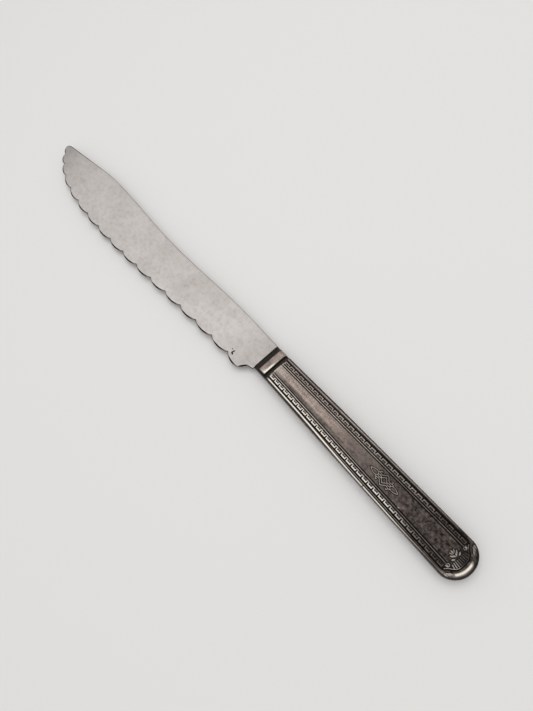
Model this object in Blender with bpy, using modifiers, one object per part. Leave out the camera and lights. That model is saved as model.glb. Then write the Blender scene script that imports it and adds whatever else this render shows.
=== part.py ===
"""Cake knife: a scalloped stainless blade in a hollow, die-struck, silver-plated handle.

Parts are drawn in the knife's own frame and hung on an empty that puts the origin
under the middle of the whole knife: +X runs to the tip, +Y to the cutting edge, +Z up.
In the knife's own frame x = 0 is the bolster's front face, y = 0 the handle's axis and
z = 0 the plane in which the two halves of the handle meet.
"""

import math

import bmesh
import bpy
from mathutils import Vector

MM = 0.001

# Blade, measured from the bolster's front face and from the handle's axis
BLADE_LENGTH = 175.3 * MM
SPINE_THICKNESS = 1.2 * MM
EDGE_THICKNESS = 0.35 * MM
TIP_THINNING = 0.2 * MM
SHOULDER_FROM_ROOT = 20.0 * MM
SHOULDER_DROP = 7.05 * MM
WAIST_FROM_TIP = 96.3 * MM
WAIST_DROP = 5.1 * MM
CLIP_FROM_TIP = 43.3 * MM
CLIP_DROP = 6.7 * MM
TIP_DROP = 0.4 * MM
TIP_ROUND_LENGTH = 4.3 * MM
TIP_ROUND_DROP = 2.35 * MM
TIP_ROUND_BULGE = 0.9 * MM

# Cutting edge: a heel, then lobes between cusps that lie on a guide curve
HEEL_STEP = 1.2 * MM
HEEL_RUN = 4.2 * MM
HEEL_RISE = 4.7 * MM
FIRST_CUSP_FROM_ROOT = 14.1 * MM
FIRST_CUSP_HEIGHT = 10.7 * MM
BELLY_FROM_TIP = 60.9 * MM
BELLY_HEIGHT = 16.2 * MM
SCALLOP_PITCH = 11.4 * MM
SCALLOP_DEPTH = 1.45 * MM
TIP_LOBES = 6

# Tang, in one piece with the blade
TANG_LENGTH = 58.0 * MM
TANG_WIDTH = 6.5 * MM
TANG_END_WIDTH = 4.5 * MM

# Bolster collar, from the blade side to the handle side
BOLSTER_WIDTH = 13.6 * MM
BOLSTER_THICKNESS = 6.6 * MM
COVE_LENGTH = 2.7 * MM
COVE_FOOT_THICKNESS = 3.2 * MM
BAND_LENGTH = 3.5 * MM
NECK_LENGTH = 1.1 * MM
NECK_DEPTH = 0.6 * MM
FLANGE_LENGTH = 0.7 * MM
FLANGE_INSET = 0.4 * MM
COLLAR_CORNER = 1.9 * MM
SPIGOT_LENGTH = 4.0 * MM
TANG_SLOT_MARGIN = 0.35 * MM

# Handle, two struck halves
HANDLE_LENGTH = 103.2 * MM
HANDLE_MOUTH_WIDTH = 14.2 * MM
HANDLE_END_WIDTH = 16.4 * MM
HANDLE_END_ROUND = 7.0 * MM
HANDLE_THICKNESS = 7.2 * MM
SHEET = 0.8 * MM
SIDE_WALL_HEIGHT = 1.7 * MM
BEAD_WIDTH = 1.9 * MM
BEAD_END_WIDTH = 3.4 * MM
BEAD_CREST = 0.6
BEAD_DROP = 0.65 * MM
GROOVE_DEPTH = 0.28 * MM
BORDER_WIDTH = 2.3 * MM
BORDER_END_WIDTH = 4.9 * MM
BORDER_DROP = 0.35 * MM
PANEL_STEP = 0.35 * MM

# Joints between the pieces
SEAM_THICKNESS = 0.3 * MM
COLLAR_JOINT = 0.3 * MM
FIT_GAP = 0.05 * MM
WELD = 0.0001 * MM

# Reach of the curves' handles, as shares of the stretch that each one shapes
LEVEL_PULL = 0.4
HEEL_PULL = Vector((0.35, 0.18))
BELLY_PULL_BACK = 0.28
BELLY_PULL_ON = 0.61
TIP_PULL = Vector((0.17, 0.69))
CLIP_PULL_BACK = 0.5
CLIP_PULL_ON = 0.2

# Shortest lobe that has the full depth, as a share of the pitch
FULL_LOBE = 0.62

# Fineness of the curves
GUIDE_STEPS = 60
SIDE_STEPS = 8
END_STEPS = 18
BEAD_STEPS = 4
LOBE_STEPS = 7
SPINE_STEPS = 8
CORNER_STEPS = 4
COVE_STEPS = 5

# Finishes: linear colour, metallic value and roughness
STAINLESS_STEEL = ((0.56, 0.53, 0.51), 1.0, 0.32)
BOLSTER_PLATE = ((0.45, 0.38, 0.33), 1.0, 0.3)
HANDLE_PLATE = ((0.34, 0.28, 0.24), 1.0, 0.36)
SOFT_SOLDER = ((0.33, 0.31, 0.29), 1.0, 0.45)
FILLING_CEMENT = ((0.30, 0.22, 0.15), 0.0, 0.85)

BOLSTER_LENGTH = COVE_LENGTH + BAND_LENGTH + NECK_LENGTH + FLANGE_LENGTH
MOUTH_X = -BOLSTER_LENGTH - COLLAR_JOINT
HANDLE_END_X = MOUTH_X - HANDLE_LENGTH
HALF_THICKNESS = HANDLE_THICKNESS / 2
GROOVE_HEIGHT = HALF_THICKNESS - BEAD_DROP - GROOVE_DEPTH
CAVITY_HALF_HEIGHT = GROOVE_HEIGHT - SHEET - FIT_GAP


def clear_scene():
    """Remove every object that the file starts with."""
    for item in list(bpy.data.objects):
        bpy.data.objects.remove(item, do_unlink=True)


def make_collection(name):
    """Add a collection to the scene."""
    collection = bpy.data.collections.new(name)
    bpy.context.scene.collection.children.link(collection)
    return collection


def make_material(name, finish):
    """Principled material of a finish: its colour, metallic value and roughness."""
    colour, metallic, roughness = finish
    material = bpy.data.materials.new(name)
    material.use_nodes = True
    shader = material.node_tree.nodes["Principled BSDF"]
    shader.inputs["Base Color"].default_value = (*colour, 1.0)
    shader.inputs["Metallic"].default_value = metallic
    shader.inputs["Roughness"].default_value = roughness
    return material


def bezier(start, pull_start, pull_end, end, steps):
    """Points of a cubic curve after its start."""
    points = []
    for step in range(1, steps + 1):
        t = step / steps
        weights = ((1 - t) ** 3, 3 * (1 - t) ** 2 * t, 3 * (1 - t) * t * t, t ** 3)
        controls = (start, pull_start, pull_end, end)
        points.append(sum((w * c for w, c in zip(weights, controls)), Vector((0, 0))))
    return points


def level_curve(start, end, steps):
    """Curve that leaves its start and reaches its end running along X."""
    pull = Vector(((end.x - start.x) * LEVEL_PULL, 0))
    return bezier(start, start + pull, end - pull, end, steps)


def bulge(start, end, depth, steps):
    """Arc after its start that stands out by depth on the left of the way from start to end."""
    chord = end - start
    side = Vector((-chord.y, chord.x)).normalized()
    radius = chord.length_squared / (8 * depth) + depth / 2
    centre = (start + end) / 2 + side * (depth - radius)
    half_angle = math.asin(min(1.0, chord.length / (2 * radius)))
    points = []
    for step in range(1, steps + 1):
        angle = half_angle * (2 * step / steps - 1)
        points.append(centre + radius * (side * math.cos(angle) + chord.normalized() * math.sin(angle)))
    return points


def walk(path, distance):
    """Point at a distance along a path of points."""
    for start, end in zip(path, path[1:]):
        step = (end - start).length
        if distance <= step:
            return start.lerp(end, distance / step)
        distance -= step
    return path[-1]


def scallop_cusps():
    """Cusps of the edge, from the first one to the tip: even lobes that shorten round the tip."""
    first = Vector((FIRST_CUSP_FROM_ROOT, FIRST_CUSP_HEIGHT))
    belly = Vector((BLADE_LENGTH - BELLY_FROM_TIP, BELLY_HEIGHT))
    tip = Vector((BLADE_LENGTH, -TIP_DROP))
    rise = belly - first
    fall = tip - belly
    before_belly = belly - Vector((rise.x * BELLY_PULL_BACK, 0))
    past_belly = belly + Vector((fall.x * BELLY_PULL_ON, 0))
    guide = [first]
    guide += bezier(first, first + rise * HEEL_PULL, before_belly, belly, GUIDE_STEPS)
    guide += bezier(belly, past_belly, tip - fall * TIP_PULL, tip, GUIDE_STEPS)
    length = sum((b - a).length for a, b in zip(guide, guide[1:]))
    tip_shares = [1 - (lobe / (TIP_LOBES + 2)) ** 2 for lobe in range(1, TIP_LOBES + 1)]
    even_lobes = max(1, round(length / SCALLOP_PITCH - sum(tip_shares)))
    shares = [1.0] * even_lobes + tip_shares
    pitch = length / sum(shares)
    cusps = [first]
    for lobe in range(len(shares) - 1):
        cusps.append(walk(guide, pitch * sum(shares[:lobe + 1])))
    return cusps + [tip]


def blade_outline():
    """Outline of the blade and its tang, from the root along the edge to the tip and back along the spine."""
    root = BOLSTER_WIDTH / 2
    root_x = FIT_GAP
    heel_foot = Vector((HEEL_STEP, root))
    heel_top = heel_foot + Vector((HEEL_RUN, HEEL_RISE))
    cusps = scallop_cusps()
    points = [Vector((root_x, root)), heel_foot, heel_top]
    for start, end in zip([heel_top] + cusps, cusps):
        depth = SCALLOP_DEPTH * min(1.0, (end - start).length / (SCALLOP_PITCH * FULL_LOBE)) ** 3
        points += bulge(start, end, depth, LOBE_STEPS)
    clip_end = Vector((BLADE_LENGTH - TIP_ROUND_LENGTH, -TIP_ROUND_DROP))
    clip = Vector((BLADE_LENGTH - CLIP_FROM_TIP, -CLIP_DROP))
    waist = Vector((BLADE_LENGTH - WAIST_FROM_TIP, -WAIST_DROP))
    shoulder = Vector((SHOULDER_FROM_ROOT, -SHOULDER_DROP))
    run = clip - clip_end
    points += bulge(points[-1], clip_end, TIP_ROUND_BULGE, LOBE_STEPS)
    before_clip = clip - Vector((run.x * CLIP_PULL_ON, 0))
    points += bezier(clip_end, clip_end + run * CLIP_PULL_BACK, before_clip, clip, SPINE_STEPS)
    points += level_curve(clip, waist, SPINE_STEPS)
    points += level_curve(waist, shoulder, SPINE_STEPS)
    points += level_curve(shoulder, Vector((root_x, -root)), SPINE_STEPS)
    return points + tang_sides(root_x, 0.0)


def tang_sides(start_x, margin):
    """Corners of the tang from its spine side round its end to its edge side, widened by a margin."""
    straight_x = -BOLSTER_LENGTH - SPIGOT_LENGTH
    half = TANG_WIDTH / 2 + margin
    half_end = TANG_END_WIDTH / 2 + margin
    end_x = -TANG_LENGTH - margin
    return [Vector((start_x, -half)), Vector((straight_x, -half)), Vector((end_x, -half_end)),
            Vector((end_x, half_end)), Vector((straight_x, half)), Vector((start_x, half))]


def blade_thickness(x, y):
    """Thickness of the wedge-rolled strip: thinner toward the edge and toward the tip."""
    across = (y + SHOULDER_DROP) / (BELLY_HEIGHT + SCALLOP_DEPTH + SHOULDER_DROP)
    along = x / BLADE_LENGTH
    return SPINE_THICKNESS - (SPINE_THICKNESS - EDGE_THICKNESS) * across - TIP_THINNING * along


def thickest_tang():
    """Thickness of the tang at its thickest corner."""
    return blade_thickness(-TANG_LENGTH, -TANG_WIDTH / 2)


def add_object(name, mesh, collection, root, finish):
    """Put a mesh in the scene under the root empty, with a material of its own."""
    part = bpy.data.objects.new(name, mesh)
    collection.objects.link(part)
    part.parent = root
    part.data.materials.append(make_material(name, finish))
    return part


def finish_mesh(name, bm):
    """Turn a closed bmesh into a mesh with its faces pointing out."""
    bmesh.ops.remove_doubles(bm, verts=bm.verts, dist=WELD)
    bmesh.ops.recalc_face_normals(bm, faces=bm.faces)
    mesh = bpy.data.meshes.new(name)
    bm.to_mesh(mesh)
    bm.free()
    return mesh


def shade(part, angle):
    """Smooth shading that keeps edges sharper than the angle."""
    part.data.shade_smooth()
    part.data.set_sharp_from_angle(angle=math.radians(angle))


def flat_mesh(name, loops, thickness):
    """Closed plate from one or more flat outlines, half its thickness on each side of z = 0."""
    curve = bpy.data.curves.new(name, "CURVE")
    curve.dimensions = "2D"
    curve.fill_mode = "BOTH"
    curve.extrude = thickness / 2
    for loop in loops:
        spline = curve.splines.new("POLY")
        spline.points.add(len(loop) - 1)
        spline.use_cyclic_u = True
        for point, place in zip(spline.points, loop):
            point.co = (place.x, place.y, 0.0, 1.0)
    drawing = bpy.data.objects.new(name, curve)
    bpy.context.scene.collection.objects.link(drawing)
    graph = bpy.context.evaluated_depsgraph_get()
    plate = bpy.data.meshes.new_from_object(drawing.evaluated_get(graph))
    bpy.data.objects.remove(drawing, do_unlink=True)
    bm = bmesh.new()
    bm.from_mesh(plate)
    bpy.data.meshes.remove(plate)
    return finish_mesh(name, bm)


def loft_mesh(name, rings):
    """Closed solid through rings of points, with flat ends."""
    bm = bmesh.new()
    loops = [[bm.verts.new(point) for point in ring] for ring in rings]
    for near, far in zip(loops, loops[1:]):
        for i in range(len(near)):
            j = (i + 1) % len(near)
            bm.faces.new((near[i], near[j], far[j], far[i]))
    bm.faces.new(loops[0])
    bm.faces.new(loops[-1])
    return finish_mesh(name, bm)


def rounded_box_ring(half_width, half_height, corner):
    """Rounded rectangle round the X axis, as y and z of its points."""
    corner = min(corner, half_width * 0.9, half_height * 0.9)
    points = []
    for quarter, (sy, sz) in enumerate(((1, 1), (-1, 1), (-1, -1), (1, -1))):
        centre = Vector((sy * (half_width - corner), sz * (half_height - corner)))
        for step in range(CORNER_STEPS + 1):
            angle = math.radians(90 * (quarter + step / CORNER_STEPS))
            points.append(centre + corner * Vector((math.cos(angle), math.sin(angle))))
    return points


def box_cutter(name, x_from, x_to, half_width, half_height, collection, root):
    """Wire box that cuts a slot along X."""
    bm = bmesh.new()
    bmesh.ops.create_cube(bm, size=1.0)
    bmesh.ops.scale(bm, verts=bm.verts, vec=(x_to - x_from, 2 * half_width, 2 * half_height))
    bmesh.ops.translate(bm, verts=bm.verts, vec=((x_from + x_to) / 2, 0, 0))
    return add_cutter(name, finish_mesh(name, bm), collection, root)


def add_cutter(name, mesh, collection, root):
    """Put a mesh that only cuts others in the scene."""
    cutter = bpy.data.objects.new(name, mesh)
    collection.objects.link(cutter)
    cutter.parent = root
    cutter.hide_render = True
    cutter.display_type = "WIRE"
    return cutter


def cut(part, cutter):
    """Take the cutter's shape out of the part."""
    boolean = part.modifiers.new(cutter.name, "BOOLEAN")
    boolean.operation = "DIFFERENCE"
    boolean.object = cutter


def handle_half_width(x):
    """Half the handle's width at x, before its round end."""
    shoulder_x = HANDLE_END_X + HANDLE_END_ROUND
    share = (MOUTH_X - x) / (MOUTH_X - shoulder_x)
    return (HANDLE_MOUTH_WIDTH + (HANDLE_END_WIDTH - HANDLE_MOUTH_WIDTH) * share) / 2


def handle_ring(side_inset, end_inset, from_x):
    """Line that follows the handle's sides and round end, set in from its outline, open at from_x."""
    reach = HANDLE_END_ROUND * (1 - side_inset / (HANDLE_END_WIDTH / 2))
    shoulder_x = HANDLE_END_X + end_inset + reach
    side = []
    for step in range(SIDE_STEPS):
        x = from_x + (shoulder_x - from_x) * step / SIDE_STEPS
        side.append(Vector((x, handle_half_width(x) - side_inset)))
    half = handle_half_width(shoulder_x) - side_inset
    end = []
    for step in range(END_STEPS + 1):
        angle = math.pi * step / END_STEPS
        end.append(Vector((shoulder_x - reach * math.sin(angle), half * math.cos(angle))))
    return side + end + [Vector((p.x, -p.y)) for p in reversed(side)]


def shell_profile():
    """Steps of the struck sheet from the seam to the panel: side inset, end inset and height."""
    seam = SEAM_THICKNESS / 2
    crest = HALF_THICKNESS - BEAD_DROP
    crest_side = BEAD_WIDTH * BEAD_CREST
    crest_end = BEAD_END_WIDTH * BEAD_CREST
    steps = [(0.0, 0.0, seam), (0.0, 0.0, SIDE_WALL_HEIGHT)]
    for step in range(1, BEAD_STEPS + 1):
        angle = math.pi / 2 * step / BEAD_STEPS
        share = 1 - math.cos(angle)
        height = SIDE_WALL_HEIGHT + (crest - SIDE_WALL_HEIGHT) * math.sin(angle)
        steps.append((crest_side * share, crest_end * share, height))
    steps.append((BEAD_WIDTH, BEAD_END_WIDTH, GROOVE_HEIGHT))
    lip_side = BEAD_WIDTH + GROOVE_DEPTH
    lip_end = BEAD_END_WIDTH + GROOVE_DEPTH
    steps.append((lip_side, lip_end, HALF_THICKNESS - BEAD_DROP))
    border_side = lip_side + BORDER_WIDTH
    border_end = lip_end + BORDER_END_WIDTH
    steps.append((border_side, border_end, HALF_THICKNESS - BORDER_DROP))
    steps.append((border_side + PANEL_STEP, border_end + PANEL_STEP, HALF_THICKNESS))
    return steps


def struck_surface(name, profile, from_x, closed_front):
    """Open surface of half a handle shape through the lines of a profile, with a flat panel in the middle."""
    bm = bmesh.new()
    rings = []
    for side_inset, end_inset, height in profile:
        line = handle_ring(side_inset, end_inset, from_x)
        rings.append([bm.verts.new((p.x, p.y, height)) for p in line])
    for outer, inner in zip(rings, rings[1:]):
        for i in range(len(outer) - 1):
            bm.faces.new((outer[i], outer[i + 1], inner[i + 1], inner[i]))
    panel = rings[-1]
    last = len(panel) - 1
    for i in range(last // 2):
        corners = [panel[i], panel[i + 1], panel[last - i - 1], panel[last - i]]
        bm.faces.new(list(dict.fromkeys(corners)))
    if closed_front:
        bm.faces.new([ring[0] for ring in rings] + [ring[-1] for ring in reversed(rings)])
    bmesh.ops.recalc_face_normals(bm, faces=bm.faces)
    if sum(face.normal.z * face.calc_area() for face in bm.faces) < 0:
        bmesh.ops.reverse_faces(bm, faces=bm.faces)
    mesh = bpy.data.meshes.new(name)
    bm.to_mesh(mesh)
    bm.free()
    return mesh


def make_blade(collection, root):
    """Scalloped blade with its tang, ground flat on both sides."""
    mesh = flat_mesh("blade", [blade_outline()], SPINE_THICKNESS)
    for vertex in mesh.vertices:
        side = math.copysign(0.5, vertex.co.z)
        vertex.co.z = side * blade_thickness(vertex.co.x, vertex.co.y)
    blade = add_object("blade", mesh, collection, root, STAINLESS_STEEL)
    shade(blade, 30)


def bolster_sections():
    """Sections of the collar from its front face back to the end of its spigot."""
    half_width = BOLSTER_WIDTH / 2
    half_height = BOLSTER_THICKNESS / 2
    foot = COVE_FOOT_THICKNESS / 2
    sections = []
    for step in range(COVE_STEPS + 1):
        share = step / COVE_STEPS
        rise = 1 - math.sqrt(1 - share ** 2)
        sections.append((-COVE_LENGTH * share, half_width, foot + (half_height - foot) * (share + rise) / 2))
    band_end = -COVE_LENGTH - BAND_LENGTH
    neck_end = band_end - NECK_LENGTH
    ease = NECK_DEPTH / 2
    neck = (half_width - ease, half_height - NECK_DEPTH)
    flange = flange_half_sizes()
    sections.append((band_end + ease, half_width, half_height))
    sections.append((band_end, half_width - ease / 4, half_height - ease / 2))
    sections.append((band_end, *neck))
    sections.append((neck_end, *neck))
    sections.append((neck_end, *flange))
    sections.append((-BOLSTER_LENGTH, *flange))
    spigot = spigot_half_sizes()
    sections.append((-BOLSTER_LENGTH, *spigot))
    sections.append((-BOLSTER_LENGTH - SPIGOT_LENGTH, *spigot))
    return sections


def flange_half_sizes():
    """Half width and half height of the flange, set in from the outside of the handle's mouth."""
    return HANDLE_MOUTH_WIDTH / 2 - FLANGE_INSET, HALF_THICKNESS - FLANGE_INSET


def spigot_half_sizes():
    """Half width and half height of the spigot, which clears the inside of the handle's mouth."""
    return HANDLE_MOUTH_WIDTH / 2 - BEAD_WIDTH - FIT_GAP, CAVITY_HALF_HEIGHT


def make_bolster(collection, cutters, root):
    """Collar with a coved front, a plain band, a neck, a flange and a spigot, slotted for the tang."""
    rings = []
    for x, half_width, half_height in bolster_sections():
        ring = rounded_box_ring(half_width, half_height, COLLAR_CORNER)
        rings.append([(x, p.x, p.y) for p in ring])
    bolster = add_object("bolster", loft_mesh("bolster", rings), collection, root, BOLSTER_PLATE)
    shade(bolster, 35)
    length = BOLSTER_LENGTH + SPIGOT_LENGTH
    slot_width = TANG_WIDTH / 2 + TANG_SLOT_MARGIN
    slot_height = thickest_tang() / 2 + TANG_SLOT_MARGIN
    slot = box_cutter("bolster_tang_slot", -2 * length, length, slot_width, slot_height, cutters, root)
    cut(bolster, slot)


def make_tang_solder(collection, cutters, root):
    """Sleeve of solder between the tang and the bolster's slot."""
    margin = TANG_SLOT_MARGIN - FIT_GAP
    length = BOLSTER_LENGTH + SPIGOT_LENGTH
    half_width = TANG_WIDTH / 2
    half_height = thickest_tang() / 2
    ring = [(half_width + margin, half_height + margin), (-half_width - margin, half_height + margin),
            (-half_width - margin, -half_height - margin), (half_width + margin, -half_height - margin)]
    rings = [[(x, y, z) for y, z in ring] for x in (0.0, -length)]
    sleeve = add_object("tang_solder", loft_mesh("tang_solder", rings), collection, root, SOFT_SOLDER)
    bore = box_cutter("tang_solder_bore", -2 * length, length, half_width + FIT_GAP, half_height + FIT_GAP,
                      cutters, root)
    cut(sleeve, bore)


def make_shells(collection, root):
    """Two halves of the handle from one die, the lower one turned over about the handle's axis."""
    mesh = struck_surface("handle_shell", shell_profile(), MOUTH_X, closed_front=False)
    for name, turn in (("upper_handle_shell", 0.0), ("lower_handle_shell", math.pi)):
        shell = add_object(name, mesh.copy(), collection, root, HANDLE_PLATE)
        shell.rotation_euler.x = turn
        sheet = shell.modifiers.new("sheet", "SOLIDIFY")
        sheet.thickness = SHEET
        sheet.offset = -1.0
        shade(shell, 40)


def make_seam_solder(collection, root):
    """Thin strip of solder round the seam of the two halves."""
    outer = handle_ring(0.0, 0.0, MOUTH_X)
    inner = handle_ring(SHEET, SHEET, MOUTH_X)
    mesh = flat_mesh("seam_solder", [outer + inner[::-1]], SEAM_THICKNESS - 2 * FIT_GAP)
    add_object("seam_solder", mesh, collection, root, SOFT_SOLDER)


def make_collar_solder(collection, root):
    """Ring of solder between the collar's flange and the handle's mouth, standing across the handle."""
    spigot_width, spigot_height = spigot_half_sizes()
    outer = rounded_box_ring(*flange_half_sizes(), COLLAR_CORNER)
    inner = rounded_box_ring(spigot_width + FIT_GAP, spigot_height + FIT_GAP, COLLAR_CORNER)
    mesh = flat_mesh("collar_solder", [outer, inner], COLLAR_JOINT - 2 * FIT_GAP)
    ring = add_object("collar_solder", mesh, collection, root, SOFT_SOLDER)
    ring.location.x = -BOLSTER_LENGTH - COLLAR_JOINT / 2
    ring.rotation_euler = (math.pi / 2, 0.0, math.pi / 2)


def cement_profile():
    """Steps of the cement's upper half from the seam plane to under the panel, just inside the sheet."""
    wall = SHEET + FIT_GAP
    panel = GROOVE_DEPTH + PANEL_STEP
    top = HALF_THICKNESS - BORDER_DROP - SHEET - 2 * FIT_GAP
    return [(wall, wall, 0.0), (wall, wall, SIDE_WALL_HEIGHT / 2),
            (BEAD_WIDTH, BEAD_END_WIDTH, CAVITY_HALF_HEIGHT),
            (BEAD_WIDTH + BORDER_WIDTH + panel, BEAD_END_WIDTH + BORDER_END_WIDTH + panel, top)]


def make_cement(collection, cutters, root):
    """Cement that fills the handle behind the spigot and grips the tang."""
    front = -BOLSTER_LENGTH - SPIGOT_LENGTH - FIT_GAP
    mesh = struck_surface("handle_cement", cement_profile(), front, closed_front=True)
    cement = add_object("handle_cement", mesh, collection, root, FILLING_CEMENT)
    mirror = cement.modifiers.new("lower_half", "MIRROR")
    mirror.use_axis = (False, False, True)
    mirror.merge_threshold = WELD
    slot_mesh = flat_mesh("cement_tang_slot", [tang_sides(0.0, FIT_GAP)], thickest_tang() + 2 * FIT_GAP)
    cut(cement, add_cutter("cement_tang_slot", slot_mesh, cutters, root))


def origin_shift():
    """Move that puts the origin under the middle of the knife's box."""
    top = max(point.y for point in blade_outline())
    bottom = -max(HANDLE_END_WIDTH / 2, SHOULDER_DROP, CLIP_DROP)
    underside = max(HANDLE_THICKNESS, BOLSTER_THICKNESS) / 2
    return Vector((-(BLADE_LENGTH + HANDLE_END_X) / 2, -(top + bottom) / 2, underside))


def main():
    """Build the knife."""
    clear_scene()
    parts = make_collection("cake_knife")
    cutters = make_collection("cutters")
    root = bpy.data.objects.new("cake_knife_origin", None)
    parts.objects.link(root)
    root.location = origin_shift()
    make_blade(parts, root)
    make_bolster(parts, cutters, root)
    make_shells(parts, root)
    make_seam_solder(parts, root)
    make_collar_solder(parts, root)
    make_tang_solder(parts, cutters, root)
    make_cement(parts, cutters, root)


main()
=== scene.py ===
"""Cake knife: a scalloped stainless blade in a hollow, die-struck, silver-plated handle.

The pieces are drawn in the knife's own frame: x = 0 is the bolster's front face and +x runs to the tip,
y = 0 is the handle's axis and +y is the cutting edge's side, z = 0 is the seam between the handle's halves.
On the handle, u is the distance from the handle's round end and v is the distance from its axis.
"""

import math
from types import SimpleNamespace

import bmesh
import bpy
import numpy as np
from bpy.props import FloatProperty, FloatVectorProperty, IntProperty, PointerProperty
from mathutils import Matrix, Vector, geometry


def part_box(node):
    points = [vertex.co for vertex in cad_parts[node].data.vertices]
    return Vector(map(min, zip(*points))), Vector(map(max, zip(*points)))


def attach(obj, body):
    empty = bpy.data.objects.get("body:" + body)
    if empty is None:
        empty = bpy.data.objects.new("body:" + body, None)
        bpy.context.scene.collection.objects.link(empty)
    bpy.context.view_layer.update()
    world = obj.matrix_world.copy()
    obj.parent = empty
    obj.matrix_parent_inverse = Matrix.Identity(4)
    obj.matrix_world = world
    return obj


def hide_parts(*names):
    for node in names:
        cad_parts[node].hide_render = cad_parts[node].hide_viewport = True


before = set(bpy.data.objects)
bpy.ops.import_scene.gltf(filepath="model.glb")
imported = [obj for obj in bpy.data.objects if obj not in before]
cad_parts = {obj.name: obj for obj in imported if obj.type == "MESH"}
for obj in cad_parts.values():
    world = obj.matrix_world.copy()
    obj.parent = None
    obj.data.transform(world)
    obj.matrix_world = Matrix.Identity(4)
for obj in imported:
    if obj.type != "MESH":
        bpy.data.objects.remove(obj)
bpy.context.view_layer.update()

bl_info = {
    "name": "Cake knife",
    "version": (1, 0, 0),
    "blender": (4, 5, 0),
    "location": "View3D > Sidebar > Cake knife",
    "description": "Scalloped blade in a hollow, struck, silver-plated handle",
    "category": "Object",
}

MM = 0.001
BODY = "root"

UPPER_LOW, UPPER_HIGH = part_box("upper_handle_shell")
LOWER_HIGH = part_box("lower_handle_shell")[1]
BOLSTER_LOW, BOLSTER_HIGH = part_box("bolster")
BLADE_LOW, BLADE_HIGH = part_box("blade")
ORIGIN = np.array((BOLSTER_HIGH.x, (UPPER_LOW.y + UPPER_HIGH.y) / 2, (UPPER_LOW.z + LOWER_HIGH.z) / 2))
END_X = UPPER_LOW.x - ORIGIN[0]
MOUTH_X = UPPER_HIGH.x - ORIGIN[0]
SEAM_HALF = UPPER_LOW.z - ORIGIN[2]
HALF_THICKNESS = UPPER_HIGH.z - ORIGIN[2]

# Blade outline: distances from the root or the tip, and from the handle's axis
ROOT_HALF = (BOLSTER_HIGH.y - BOLSTER_LOW.y) / 2
ROOT_GAP = 0.05 * MM
SHOULDER = (20.0 * MM, -7.05 * MM)
WAIST_FROM_TIP, WAIST_Y = 96.3 * MM, -5.1 * MM
CLIP_FROM_TIP, CLIP_Y = 43.3 * MM, -6.7 * MM
TIP_Y = -0.4 * MM
TIP_ROUND = (4.3 * MM, -2.55 * MM)
HEEL_FOOT, HEEL_FOOT_RISE = np.array((2.5, 8.1)) * MM, 1.1 * MM
HEEL_TOP = np.array((5.9, 12.05)) * MM
HEEL_LEAN = np.array((0.6, 0.2)) * MM
HEEL_LOBE_DEPTH = 1.0 * MM
FIRST_CUSP = (14.1 * MM, 10.7 * MM)
BELLY_FROM_TIP, BELLY_Y = 60.9 * MM, 16.2 * MM
TIP_THINNING = 0.2 * MM
TANG_STRAIGHT = 12.0 * MM
TANG_HALF_WIDTHS = (3.25 * MM, 2.25 * MM)

# Reach of the outline's curves, as shares of the stretch that each one shapes
LEVEL_PULL = 0.4
HEEL_PULL = np.array((0.35, 0.18))
BELLY_PULLS = (0.28, 0.61)
TIP_PULL = np.array((0.17, 0.69))
CLIP_PULLS = (0.5, 0.2)
TIP_ROUND_PULLS = (0.62, 0.55)
MITRE_LIMIT = 1.6

# Lobes: how many shorten round the tip, the shortest with the full depth as a share of the pitch, the power
# by which shorter ones flatten, and the steps that draw one lobe and the line that guides them
TIP_LOBES, FULL_LOBE, FLATTENING = 6, 0.62, 1.5
LOBE_STEPS, GUIDE_STEPS = 18, 60

# Ground strip along the edge: its steps from the face to the rim as shares of its width, its slope, its
# largest drop as a share of the rim's half thickness, and its least width with what a lobe's full share adds
# to that
GROUND_STEPS, GROUND_SLOPE, GROUND_DROP = (0.85, 0.0), 0.25, 0.55
GROUND_WIDTHS = (0.62, 0.55)
# How broad the ground strip is and how much painted shade it gets along one lobe, from its first cusp to its
# second
LOBE_SHADES = ((0.0, 0.5), (0.1, 0.4), (0.2, 0.75), (0.3, 1.0), (0.6, 1.0), (0.7, 0.7), (0.8, 0.1), (0.9, 0.2),
              (1.0, 0.5))
# Painted shade on the rim and darkening of the faces, as shares, and the stretches from the root over which
# they change
EDGE_SHADE, CUSP_SHADE, SPINE_SHADE, TIP_RIM_SHADE = 0.98, 0.6, 0.75, 0.18
TIP_TONE, ROOT_TONE, TIP_LOBE_LOSS = 0.32, 0.13, 0.25
RIM_SHADE_RISES, LOBE_SHADE_FADES = (130 * MM, 165 * MM), (125 * MM, 150 * MM)
TIP_TONE_RISES, ROOT_TONE_FADES = (152 * MM, 176 * MM), (4 * MM, 24 * MM)

# Corrosion pit near the heel in millimetres: blots with their place and half sizes, the box of its fine net,
# and where the slope of a blot starts and ends as shares of its half size
PIT_BLOTS = ((11.8, 9.6, 0.42, 0.4), (12.3, 9.45, 0.46, 0.42), (12.5, 9.0, 0.36, 0.4),
             (12.3, 8.5, 0.34, 0.42), (12.15, 8.05, 0.28, 0.34), (13.55, 8.1, 0.26, 0.26))
PIT_LOW, PIT_HIGH, PIT_NET = np.array((11.0, 7.5)), np.array((14.2, 10.2)), 0.1
PIT_WALL = (0.62, 1.05)
# Net of points on the blade's faces, how far it keeps from the fine net in millimetres and from the rim, and
# the triangulation's choices: keep what lies inside, and how near two points count as one
FACE_ROW, FACE_COLUMN = 1.6 * MM, 1.9 * MM
PIT_MARGIN, RIM_MARGIN = 0.2, 0.25 * MM
KEEP_INSIDE, SAME_POINT = 1, 1e-7

# Collar: steps of its cove, how far the cove's tarnish and painted shade thin, the tarnish and painted shade
# that run out over the band's front edge and over the flange's edge, the eased edges, and places along the
# band and the neck
COVE_STEPS, COVE_THINNING = 13, 0.05
BAND_FRONT_TARNISH_AND_SHADE, FLANGE_EDGE_TARNISH_AND_SHADE = (0.9, 0.2), 0.9
COLLAR_EASE = 0.16 * MM
BAND_PLACES, NECK_PLACES = (0.25, 0.45, 0.7), (0.12, 0.5, 0.88)
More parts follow.
